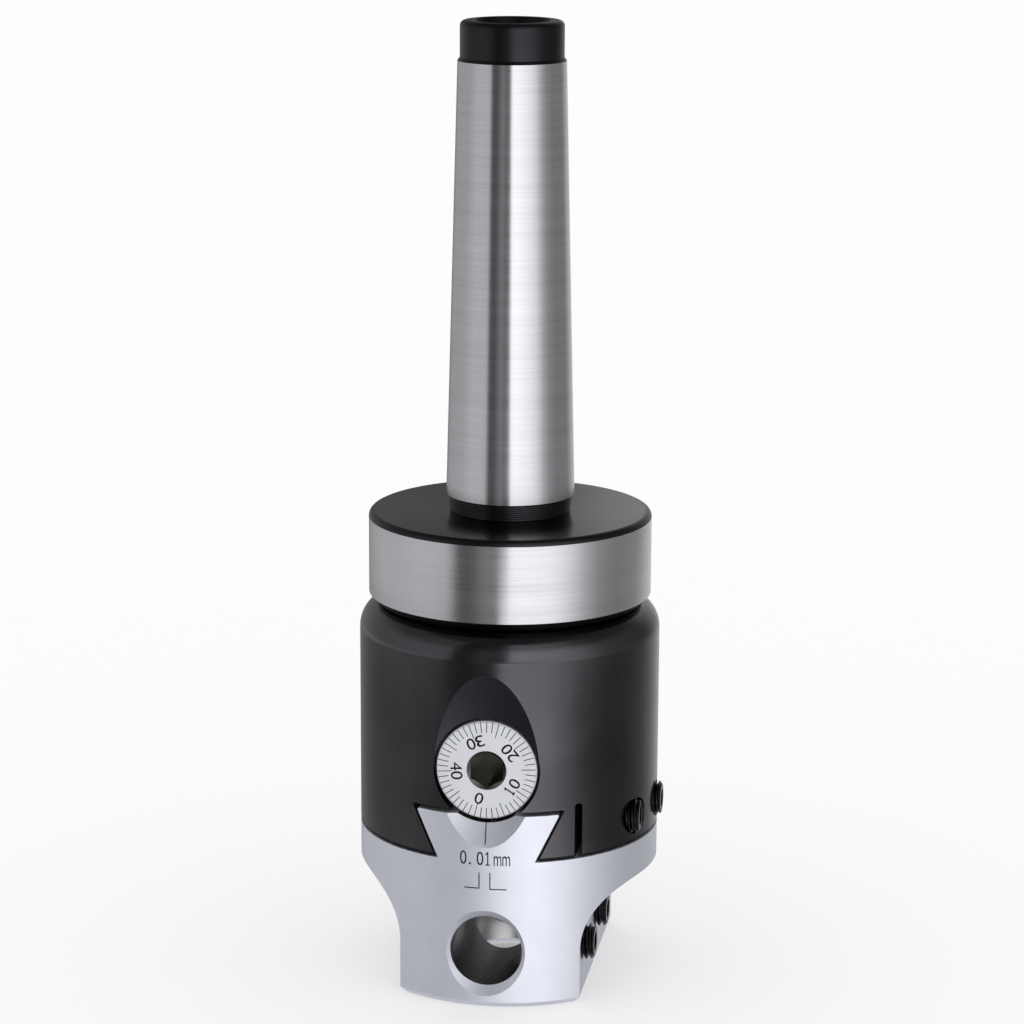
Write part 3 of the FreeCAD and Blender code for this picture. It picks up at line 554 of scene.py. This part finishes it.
def arbor():
    """The taper shank with its blackened tip, grooved neck, ground collar band and spigot."""
    taper_small = TAPER_BIG_RADIUS - TAPER_PER_SIDE * (TAPER_TOP - NECK_TOP)
    outline = [(0, SPIGOT_END), (SPIGOT_RADIUS - SPIGOT_CHAMFER, SPIGOT_END),
               (SPIGOT_RADIUS, SPIGOT_END + SPIGOT_CHAMFER),
               (SPIGOT_RADIUS, BODY_TOP), (COLLAR_RADIUS - COLLAR_CHAMFER, BODY_TOP),
               (COLLAR_RADIUS, BODY_TOP + COLLAR_CHAMFER), (COLLAR_RADIUS, BAND_TOP),
               (COLLAR_RADIUS, COLLAR_TOP)]
    # Fine turned ridges on the neck, 0.3 mm apart and each flat over its middle third, on a slope
    # that narrows towards the collar
    pitch = (NECK_TOP - COLLAR_TOP) / NECK_RIDGES
    widening = NECK_TOP_RADIUS - NECK_FOOT_RADIUS
    for ridge in range(NECK_RIDGES):
        foot = COLLAR_TOP + ridge * pitch
        radius = NECK_FOOT_RADIUS + widening * ridge / (NECK_RIDGES - 1)
        outline += [(radius - RIDGE_DEPTH, foot), (radius, foot + 0.35 * pitch),
                    (radius, foot + 0.65 * pitch)]
    # The drawbar hole has a countersink of 60 degrees at its mouth
    countersink_depth = (DRAWBAR_COUNTERSINK - DRAWBAR_CORE) * math.sqrt(3)
    outline += [(NECK_TOP_RADIUS - NECK_UNDERCUT, NECK_TOP), (TAPER_BIG_RADIUS, NECK_TOP),
                (taper_small, TAPER_TOP), (TIP_RADIUS, TAPER_TOP + TIP_FLARE),
                (TIP_RADIUS, TIP_TOP), (DRAWBAR_COUNTERSINK, TIP_TOP),
                (DRAWBAR_CORE, TIP_TOP - countersink_depth),
                (DRAWBAR_CORE, TIP_TOP - DRAWBAR_DEPTH),
                (0, TIP_TOP - DRAWBAR_DEPTH - DRAWBAR_DRILL_POINT)]
    bm = turned(outline, steps=160)
    round_ring(bm, COLLAR_RADIUS, COLLAR_TOP, COLLAR_ROUND, 5)
    round_ring(bm, TIP_RADIUS, TIP_TOP, TIP_ROUND, 6)
    finishes = [ground, blackened, faced]
    for face in bm.faces:
        middle = face.calc_center_median()
        height = middle.z / MM
        outside = middle.xy.length / MM > DRAWBAR_COUNTERSINK
        on_taper = NECK_TOP - NEAR < height < TAPER_TOP
        on_band = BODY_TOP + COLLAR_CHAMFER < height < BAND_TOP
        if abs(height - COLLAR_TOP) < RIGHT_ON:
            finish = faced
        elif outside and (on_taper or on_band):
            finish = ground
        else:
            finish = blackened
        face.material_index = finishes.index(finish)
    piece = new_piece("taper_arbor", bm, finishes)
    drawbar_thread = threaded_rod(DRAWBAR_THREAD_RADIUS, DRAWBAR_PITCH,
                                  TIP_TOP - DRAWBAR_DEPTH + 2 * DRAWBAR_PITCH, TIP_TOP + 2)
    cut(piece, new_piece("drawbar_thread", drawbar_thread, [blackened]))
    shade(piece)
    # Keeps the band and the flat faces evenly lit up to their rounded edges
    level = piece.modifiers.new("level_flats", "WEIGHTED_NORMAL")
    level.keep_sharp = True
    stands_for(piece, "arbor", "body", "ground_steel")


def relief_cutter():
    """The dished relief above the dial: the upper half of a cone round the lead screw, from
    before the head's front to well behind it."""
    front, back = -2.0, 1.6
    bm = bmesh.new()
    along = Matrix.Translation(Vector((0, (front + back) / 2 - BODY_RADIUS, SCREW_HEIGHT)) * MM)
    bmesh.ops.create_cone(bm, cap_ends=True, segments=288, depth=(back - front) * MM,
                          radius1=(RELIEF_REACH - RELIEF_SLOPE * front) * MM,
                          radius2=(RELIEF_REACH - RELIEF_SLOPE * back) * MM,
                          matrix=along @ Matrix.Rotation(-math.pi / 2, 4, "X"))
    bmesh.ops.bisect_plane(bm, geom=bm.verts[:] + bm.edges[:] + bm.faces[:], dist=ON_PLANE_M,
                           plane_co=(0, 0, SCREW_HEIGHT * MM), plane_no=(0, 0, -1),
                           clear_outer=True)
    bmesh.ops.holes_fill(bm, edges=[edge for edge in bm.edges if edge.is_boundary], sides=0)
    bmesh.ops.recalc_face_normals(bm, faces=bm.faces)
    return new_piece("relief", bm, [milled_oxide])


def skin(deep, foot, top):
    """A ring that takes a shallow skin off the head's outside between two heights, leaving faces in
    the flat black of painted shade.
    """
    inside, outside = BODY_RADIUS - deep, BODY_RADIUS + 1
    outline = [(inside, foot), (outside, foot), (outside, top), (inside, top)]
    return new_piece("skin", turned(outline, ring=True), [black_for_shade])


def flank_skin():
    """The same skin up both flanks of the dovetail, where the groove's own form is drawn wider.
    Its depth and ends differ a little from the shoulder's, so that no two cuts share a face."""
    wider = 0.42
    deep = 0.38
    foot = SHOULDER - 0.15
    top_half = GROOVE_TOP_HALF + wider
    foot_half = top_half - GROOVE_SLOPE * (GROOVE_TOP - foot)
    bm = bmesh.new()
    corners = [(-foot_half, foot), (foot_half, foot),
               (top_half, GROOVE_TOP), (-top_half, GROOVE_TOP)]
    bm.faces.new([bm.verts.new((x * MM, 0, z * MM)) for x, z in corners])
    grown = new_piece("grown_groove", thicken(bm, -BODY_RADIUS - 2, BODY_RADIUS + 2),
                      [black_for_shade])
    flanks = skin(deep, foot - 0.1, GROOVE_TOP - 0.1)
    cut(flanks, grown, "INTERSECT")
    return flanks


def head_body():
    """The blackened upper body with its groove, slit, relief and screw holes."""
    piece = copy_of("head_body", "blackened_body", [oxide])
    cut(piece, relief_cutter())
    # The broken edge of the body where it meets the slide, laid with flat black as painted shade,
    # which shows as a black line
    deep, below, above = 0.35, 0.1, 0.55
    cut(piece, skin(deep, SHOULDER - below, SHOULDER + above))
    cut(piece, flank_skin())
    # Faces deep in the groove and the slit take the flat black too, as painted shade
    slots = [slot.name for slot in piece.material_slots]
    for face in piece.data.polygons:
        middle = face.center / MM
        inside = middle.xy.length < BODY_RADIUS - NEAR
        in_groove = abs(middle.x) < GROOVE_TOP_HALF and middle.z < GROOVE_TOP + NEAR
        in_slit = (SLIT_INNER < middle.x < SLIT_OUTER and middle.z < SLIT_TOP
                   and abs(face.normal.x) > 0.9)
        if inside and (in_groove or in_slit) and face.material_index == 0:
            face.material_index = slots.index(black_for_shade.name)
    relief = dished_round_screw(RELIEF_REACH, RELIEF_SLOPE)
    shade(piece, sharp_degrees=9, true_surfaces=[head_outside, relief])
    stands_for(piece, "head_body", "body", "black_oxide")


def flat_words(words, height, width=None, bold=0.0):
    """Words as flat faces in the XZ plane, centred and as tall as given, and as wide if that is
    given too."""
    curve = bpy.data.curves.new("words", "FONT")
    curve.body = words
    curve.size = 1.0
    curve.offset = bold
    carrier = bpy.data.objects.new("words", curve)
    bpy.context.scene.collection.objects.link(carrier)
    bpy.context.view_layer.update()
    graph = bpy.context.evaluated_depsgraph_get()
    mesh = bpy.data.meshes.new_from_object(carrier.evaluated_get(graph), depsgraph=graph)
    bm = bmesh.new()
    bm.from_mesh(mesh)
    bpy.data.objects.remove(carrier)
    bpy.data.meshes.remove(mesh)
    bmesh.ops.remove_doubles(bm, verts=bm.verts, dist=1e-6)
    low = Vector([min(v.co[i] for v in bm.verts) for i in range(3)])
    high = Vector([max(v.co[i] for v in bm.verts) for i in range(3)])
    tall = height / (high.y - low.y)
    wide = width / (high.x - low.x) if width else tall
    centre = (low + high) / 2
    for v in bm.verts:
        v.co = Vector(((v.co.x - centre.x) * wide, 0, (v.co.y - centre.y) * tall)) * MM
    return bm


def numeral_one(height, bold=0.085):
    """A one with a flag and a foot, flat in the XZ plane and centred."""
    stroke = bold * height
    half = height / 2
    reach = 0.16 * height
    flag_top = half - 0.17 * height
    flag_foot = half - 0.26 * height
    flag_root = half - 0.16 * height
    bm = bmesh.new()
    outline = [(-reach, -half), (reach, -half), (reach, stroke - half),
               (stroke / 2, stroke - half), (stroke / 2, half), (-stroke / 2, half),
               (-reach, flag_top), (-reach, flag_foot), (-stroke / 2, flag_root),
               (-stroke / 2, stroke - half), (-reach, stroke - half)]
    bm.faces.new([bm.verts.new((x * MM, 0, z * MM)) for x, z in outline])
    return bm


def thicken(bm, front, back):
    """Gives flat faces in the XZ plane a thickness, from y front to y back."""
    for v in bm.verts:
        v.co.y = front * MM
    made = bmesh.ops.extrude_face_region(bm, geom=bm.faces[:])
    for element in made["geom"]:
        if isinstance(element, bmesh.types.BMVert):
            element.co.y = back * MM
    bmesh.ops.recalc_face_normals(bm, faces=bm.faces)
    return bm


def bar(x0, x1, z0, z1, front, back):
    """A straight engraved line between two corners."""
    bm = bmesh.new()
    size = Matrix.Diagonal((abs(x1 - x0) * MM, abs(back - front) * MM, abs(z1 - z0) * MM, 1))
    middle = Matrix.Translation(Vector(((x0 + x1) / 2, (front + back) / 2, (z0 + z1) / 2)) * MM)
    bmesh.ops.create_cube(bm, size=1.0, matrix=middle @ size)
    return bm


def gather(parts):
    """Several bmeshes as one, all of which it frees."""
    whole = bmesh.new()
    for part in parts:
        mesh = bpy.data.meshes.new("part")
        part.to_mesh(mesh)
        part.free()
        whole.from_mesh(mesh)
        bpy.data.meshes.remove(mesh)
    return whole


def wrap(bm, radius):
    """Bends marks round the head's axis: their x becomes the way round at the radius."""
    for v in bm.verts:
        angle = v.co.x / (radius * MM)
        reach = -v.co.y
        v.co.x = reach * math.sin(angle)
        v.co.y = -reach * math.cos(angle)
    return bm


def index_line():
    """The index line's cutter, a thin bar that lies in the scoop's slope below the dial."""
    top, foot = 26.6, 23.45
    wide, sunk, proud = 0.15, 0.1, 0.5
    middle = (top + foot) / 2
    depth = (SCOOP_REACH - (SCREW_HEIGHT - middle)) / SCOOP_SLOPE - BODY_RADIUS
    lean = math.atan(1 / SCOOP_SLOPE)
    bm = bar(-wide / 2, wide / 2, (foot - top) / 2, (top - foot) / 2, -proud, sunk)
    return move(bm, Matrix.Translation(Vector((0, depth, middle)) * MM)
                @ Matrix.Rotation(-lean, 4, "X"))


def bar_slide():
    """The slide: the CAD form with its unit, corner marks and index line engraved."""
    piece = copy_of("bar_slide", "bar_slide_engraved", [slide_chrome])
    above, floor = -BODY_RADIUS - 0.4, -BODY_RADIUS + 0.12
    marks = []
    # Each sign has its own place and width, as a stamping punch sets them
    foot = 20.6
    for sign, left, right, tall in (("0", -3.52, -2.58, 1.94), (".", -2.26, -1.94, 0.32),
                                    ("0", -1.16, -0.22, 1.94), ("1", 0.08, 0.69, 1.94),
                                    ("m", 1.20, 2.26, 1.42), ("m", 2.38, 3.45, 1.42)):
        glyph = numeral_one(tall) if sign == "1" else flat_words(sign, tall, right - left)
        place = Vector(((left + right) / 2, 0, foot + tall / 2)) * MM
        marks.append(thicken(move(glyph, Matrix.Translation(place)), above, floor))
    # The two corner marks, each with its upright and its foot
    for x0, x1, z0, z1 in ((-0.90, -0.74, 17.22, 19.56), (-2.92, -0.82, 17.22, 17.38),
                           (0.60, 0.76, 17.12, 19.56), (0.68, 2.98, 17.12, 17.28)):
        marks.append(bar(x0, x1, z0, z1, above, floor))
    engraving = gather([wrap(gather(marks), BODY_RADIUS), index_line()])
    cut(piece, new_piece("engraving", engraving, [paint]), crossing=True)
    scoop = dished_round_screw(SCOOP_REACH, SCOOP_SLOPE)
    # The cross bore and the gap round the dial's seat take the darkened steel as painted shade, the
    # centre bore plain reamed steel
    cross, centre, milled = add_finishes(piece, shaded_bore_steel, centre_bored, scooped)
    for face in piece.data.polygons:
        middle = face.center / MM
        in_cross = math.hypot(middle.x, middle.z - CROSS_BORE_HEIGHT) < BORE_RADIUS + NEAR
        in_centre = middle.xy.length < BORE_RADIUS + NEAR
        from_screw = math.hypot(middle.x, middle.z - SCREW_HEIGHT)
        in_dial_seat = from_screw < DIAL_SEAT + NEAR and middle.y < BEHIND_SEAT
        gap, way = scoop(face.center)
        in_scoop = abs(gap) < RIGHT_ON * MM and way.dot(face.normal) > SAME_WAY
        if in_centre and middle.z < SHOULDER - 1:
            face.material_index = centre
        elif in_cross or in_dial_seat:
            face.material_index = cross
        elif in_scoop and face.material_index == 0:
            face.material_index = milled
    shade(piece, sharp_degrees=9, true_surfaces=[head_outside, scoop])
    stands_for(piece, "bar_slide", "slide", "satin_chrome")


def lead_thread_cutter(rear):
    """What the thread leaves open on the lead screw's rear end, where it stands out of the nuts:
    a tube round the screw, with the thread's own form taken out of it."""
    length = 5.5
    inner, radius, outer = 1.8, 2.48, 4.0
    outline = [(inner, 0), (outer, 0), (outer, length + 1), (inner, length + 1)]
    tube = new_piece("thread_space", turned(outline, steps=48, ring=True), [nut_steel])
    cut(tube, new_piece("thread", threaded_rod(radius, LEAD, -1, length + 2), [nut_steel]))
    tube.data.transform(Matrix.Translation(Vector((0, rear - length, SCREW_HEIGHT)) * MM)
                        @ Matrix.Rotation(-math.pi / 2, 4, "X"))
    return tube


def graduated_dial():
    """The dial: the CAD form with its fifty lines and its numbers engraved."""
    piece = copy_of("dial_screw", "graduated_dial_screw", [dial_chrome])
    front, back = DIAL_FACE - 0.3, DIAL_FACE + 0.1
    half_line = 0.055
    line_end = 0.985 * DIAL_RADIUS
    long_start, short_start = 0.70 * DIAL_RADIUS, 0.775 * DIAL_RADIUS
    marks = []
    for division in range(DIVISIONS):
        turn = FULL_TURN * (division + ZERO_DIVISION) / DIVISIONS
        start = long_start if division % 5 == 0 else short_start
        line = bar(-half_line, half_line, -line_end, -start, front, back)
        marks.append(move(line, Matrix.Rotation(-turn, 4, "Y")))
    tall, wide, bold = 1.62, 1.18, 0.006
    bold_one = 0.13
    gap = 0.1
    number_radius = 4.15
    for index, words in enumerate(("0", "10", "20", "30", "40")):
        turn = FULL_TURN * (index * 10 + ZERO_DIVISION) / DIVISIONS
        number = []
        for order, sign in enumerate(words):
            if sign == "1":
                glyph = numeral_one(tall, bold_one)
            elif sign == "4":
                # A bolder four would lose the opening in it
                glyph = flat_words(sign, tall, wide)
            else:
                glyph = flat_words(sign, tall, wide, bold)
            across = (order - (len(words) - 1) / 2) * (wide + gap)
            number.append(move(glyph, Matrix.Translation((across * MM, 0, 0))))
        number = move(gather(number), Matrix.Translation((0, 0, -number_radius * MM)))
        marks.append(move(thicken(number, front, back), Matrix.Rotation(-turn, 4, "Y")))
    place = Matrix.Translation((0, 0, SCREW_HEIGHT * MM))
    cut(piece, new_piece("graduation", move(gather(marks), place), [paint]), crossing=True)
    cut(piece, lead_thread_cutter(max(v.co.y for v in piece.data.vertices) / MM))
    socket, mouth, screw = add_finishes(piece, socket_shade_steel, countersunk, nut_steel)
    for face in piece.data.polygons:
        middle = face.center / MM
        from_axis = math.hypot(middle.x, middle.z - SCREW_HEIGHT)
        if from_axis < DIAL_SOCKET and DIAL_FACE + NEAR < middle.y < BEHIND_SOCKET:
            # Its walls and deep floor take the darkened steel as painted shade, the mouth plain
            # countersunk steel
            wall_or_floor = abs(face.normal.y) < 0.3 or middle.y > DIAL_FACE + SOCKET_MOUTH
            face.material_index = socket if wall_or_floor else mouth
        elif middle.y > 0:
            face.material_index = screw
    shade(piece)
    stands_for(piece, "dial_screw", "dial", "dial_chrome")


def set_screw(node, inner_end, outer_end, y, z):
    """A socket set screw along X, its flat point at the inner end and its socket at the outer."""
    length = outer_end - inner_end
    outline = [(0, 0), (SET_SCREW_RADIUS - SET_SCREW_POINT, 0),
               (SET_SCREW_RADIUS, SET_SCREW_POINT),
               (SET_SCREW_RADIUS, length - SET_SCREW_CHAMFER),
               (SET_SCREW_RADIUS - SET_SCREW_CHAMFER, length), (0, length)]
    rod = threaded_rod(SET_SCREW_RADIUS, SET_SCREW_PITCH, 0, length)
    piece = new_piece(node + "_threaded", rod, [screw_steel])
    envelope = turned(outline, steps=48)
    cut(piece, new_piece("envelope", envelope, [screw_steel]), "INTERSECT")
    socket = hexagon(SET_SCREW_FLATS, length - SET_SCREW_SOCKET, length + 1, math.pi / 6)
    cut(piece, new_piece("socket", socket, [screw_steel]))
    piece.data.transform(Matrix.Translation(Vector((inner_end, y, z)) * MM)
                         @ Matrix.Rotation(math.pi / 2, 4, "Y"))
    shade(piece)
    stands_for(piece, node, node, "screw_black")


def inner_piece(node, body, slot, material):
    """A washer or nut: the CAD form, shaded as the round turned piece it is."""
    piece = copy_of(node, node + "_turned", [material])
    shade(piece)
    stands_for(piece, node, body, slot)


def white_surround():
    """An even white surround, for plain soft light."""
    world = bpy.data.worlds.new("white_surround")
    world.use_nodes = True
    background = world.node_tree.nodes["Background"]
    background.inputs["Color"].default_value = (1, 1, 1, 1)
    background.inputs["Strength"].default_value = 1.0
    bpy.context.scene.world = world


def tent_wall():
    """The wall of the light tent, with the dark gap and the bright panel that the photograph's
    reflections show."""
    material, tree = new_material("light_tent")
    places = add_node(tree, "ShaderNodeTexCoord")
    way = add_node(tree, "ShaderNodeSeparateXYZ", inputs={"Vector": places.outputs["Object"]})
    ahead = add_node(tree, "ShaderNodeMath", {"operation": "MULTIPLY"}, {
        0: way.outputs["Y"], 1: -1.0})
    angle = add_node(tree, "ShaderNodeMath", {"operation": "ARCTAN2"}, {
        0: way.outputs["X"], 1: ahead.outputs[0]})
    share = add_node(tree, "ShaderNodeMapRange", inputs={
        "Value": angle.outputs[0], "From Min": -math.pi, "From Max": math.pi})
    # Brightness by the direction round the head, in degrees from the front, positive to the right,
    # for each height of the tent: what the slide, the body, the collar and the shank see
    behind = [(-180, 0.70), (-177, 0.62), (-172, 0.20), (-150, 0.28)]
    seen_by_slide = behind + [
        (-130, 0.48), (-88, 0.58), (-57, 0.66), (-36, 0.52), (-28, 0.24), (-20, 0.24), (-12, 0.5),
        (0, 1.75), (24, 1.8), (46, 1.55), (58, 1.25), (70, 0.7), (82, 0.36), (100, 0.2),
        (132, 0.22), (150, 0.5), (180, 0.70)]
    seen_by_body = behind + [
        (-130, 0.28), (-88, 0.36), (-67, 0.35), (-50, 0.29), (-40, 0.21), (-32, 0.15), (-20, 0.11),
        (-1, 0.18), (2.5, 1.9), (22, 1.7), (36, 1.42), (50, 0.86), (60, 0.45), (70, 0.27),
        (82, 0.2), (100, 0.19), (123, 0.3), (150, 0.6), (180, 0.70)]
    seen_by_collar = behind + [
        (-130, 0.50), (-109, 0.80), (-88, 0.88), (-57, 0.96), (-42, 0.95), (-35, 0.20),
        (-26, 0.10), (-12, 0.34), (4, 0.3), (8.5, 0.55), (18, 0.62), (28, 0.9), (41, 1.45),
        (55, 1.35), (70, 0.82), (82, 0.46), (100, 0.32), (125, 0.34), (150, 0.56), (180, 0.70)]
    seen_by_shank = behind + [
        (-130, 0.44), (-88, 0.50), (-65, 0.66), (-36, 0.66), (-31, 0.09), (-20, 0.11), (-9, 0.3),
        (-3, 0.17), (5.5, 0.17), (9, 1.75), (24, 1.65), (46, 1.32), (58, 1.05), (70, 0.6),
        (82, 0.36), (100, 0.26), (132, 0.25), (150, 0.5), (180, 0.70)]
    # A ramp's colours end at 1, so it holds each brightness as a share of this
    brightest = 2.0
    light = None
    # Each takes over from the one below it between two heights, in metres
    for stops, low_m, high_m in ((seen_by_slide, 0, 0), (seen_by_body, -0.05, -0.045),
                                 (seen_by_collar, 0.004, 0.007), (seen_by_shank, 0.018, 0.022)):
        ramp = add_node(tree, "ShaderNodeValToRGB", inputs={"Fac": share.outputs["Result"]})
        elements = ramp.color_ramp.elements
        elements.remove(elements[0])
        elements[0].position = 0.0
        for degrees, _ in stops[1:]:
            elements.new((degrees + 180) / 360)
        for element, (_, brightness) in zip(elements, stops):
            element.color = [brightness / brightest] * 3 + [1]
        if light is None:
            light = ramp.outputs["Color"]
        else:
            rise = add_node(tree, "ShaderNodeMapRange", inputs={
                "Value": way.outputs["Z"], "From Min": low_m, "From Max": high_m})
            mixed = add_node(tree, "ShaderNodeMix", {"data_type": "RGBA"}, {
                "Factor": rise.outputs["Result"], LOW: light, HIGH: ramp.outputs["Color"]})
            light = mixed.outputs[MIXED]
    # The panels end above the shank and below the slide, and the tent is dimmer there
    above = add_node(tree, "ShaderNodeMapRange", inputs={
        "Value": way.outputs["Z"], "From Min": 0.13, "From Max": 0.2,
        "To Min": brightest, "To Max": brightest / 2})
    below = add_node(tree, "ShaderNodeMapRange", inputs={
        "Value": way.outputs["Z"], "From Min": -0.098, "From Max": -0.082, "To Min": 0.14})
    strength = add_node(tree, "ShaderNodeMath", {"operation": "MULTIPLY"}, {
        0: above.outputs["Result"], 1: below.outputs["Result"]})
    glow = add_node(tree, "ShaderNodeEmission", inputs={
        "Color": light, "Strength": strength.outputs[0]})
    add_node(tree, "ShaderNodeOutputMaterial", inputs={"Surface": glow.outputs["Emission"]})
    return material


def light_tent():
    """A tall round tent that only reflections see, closed by a grey card below and a dark one
    above."""
    materials = [tent_wall()]
    for name, grey in (("grey_card_below", "#c4c4c6"), ("dark_card_above", "#5a5a5c")):
        card, tree = new_material(name)
        glow = add_node(tree, "ShaderNodeEmission", inputs={"Color": colour(grey)})
        add_node(tree, "ShaderNodeOutputMaterial", inputs={"Surface": glow.outputs["Emission"]})
        materials.append(card)
    tall_m = 0.46
    radius_m = 0.2
    middle_m = 0.1
    bm = bmesh.new()
    bmesh.ops.create_cone(bm, cap_ends=True, segments=96, radius1=radius_m, radius2=radius_m,
                          depth=tall_m, matrix=Matrix.Translation((0, 0, middle_m)))
    bmesh.ops.recalc_face_normals(bm, faces=bm.faces)
    bm.normal_update()
    for face in bm.faces:
        if abs(face.normal.z) > 0.5:
            face.material_index = 1 if face.calc_center_median().z < middle_m else 2
    tent = new_piece("light_tent", bm, materials)
    tent.visible_camera = False
    tent.visible_diffuse = False
    tent.visible_shadow = False
    tent.visible_transmission = False
    return tent


def pale_floor():
    """A lit table: part of its light comes up through it, so the shadow stays pale."""
    material, tree = new_material("pale_floor")
    through = 0.35
    shader = add_node(tree, "ShaderNodeBsdfPrincipled", inputs={
        "Base Color": (0.98 - through, 0.98 - through, 0.98 - through, 1), "Roughness": 0.9,
        "Specular IOR Level": 0.0, "Emission Color": (1, 1, 1, 1), "Emission Strength": through})
    add_node(tree, "ShaderNodeOutputMaterial", inputs={"Surface": shader.outputs["BSDF"]})
    bm = bmesh.new()
    bmesh.ops.create_grid(bm, x_segments=1, y_segments=1, size=6.0)
    floor = new_piece("floor", bm, [material])
    floor.visible_glossy = False
    return floor


def studio():
    """The light, the tent and the floor."""
    white_surround()
    tent = light_tent()
    floor = pale_floor()


def camera():
    """A long lens a little above and to the right of the dial, as in the photograph."""
    round_head, down, roll = 8.9, 13.049, 0.249
    data = bpy.data.cameras.new("camera")
    data.lens = 119.58
    data.sensor_width = 36.0
    data.clip_start = 0.01
    data.clip_end = 100.0
    viewer = bpy.data.objects.new("camera", data)
    turn = (Matrix.Rotation(math.radians(round_head), 4, "Z")
            @ Matrix.Rotation(math.radians(90 - down), 4, "X")
            @ Matrix.Rotation(math.radians(roll), 4, "Z"))
    viewer.matrix_world = Matrix.Translation(Vector((71.66, -456.1, 172.3)) * MM) @ turn
    bpy.context.scene.collection.objects.link(viewer)
    bpy.context.scene.camera = viewer
    bpy.context.scene.view_settings.view_transform = "Standard"


arbor()
head_body()
bar_slide()
graduated_dial()
# Each set screw by its two ends along X, its place along Y and its height
for node, inner_end, outer_end, y, z in (
        ("gib_screw_front", 11.805, 19.805, -8.6, 24.8),
        ("gib_screw_middle", 11.805, 21.805, 0.0, 24.8),
        ("gib_screw_rear", 11.805, 19.805, 8.6, 24.8),
        ("bar_screw_front", 6.33, 14.33, -13.5, CROSS_BORE_HEIGHT),
        ("bar_screw_centre", 6.33, 14.33, 0.0, CROSS_BORE_HEIGHT)):
    set_screw(node, inner_end, outer_end, y, z)
for node, body, slot, material in (("front_thrust_washer", "body", "bronze", bronze),
                                   ("rear_thrust_washer", "body", "bronze", bronze),
                                   ("lead_nut", "slide", "bronze", bronze),
                                   ("take_up_nut", "dial", "nut_steel", nut_steel),
                                   ("lock_nut", "dial", "nut_steel", nut_steel)):
    inner_piece(node, body, slot, material)
studio()
camera()
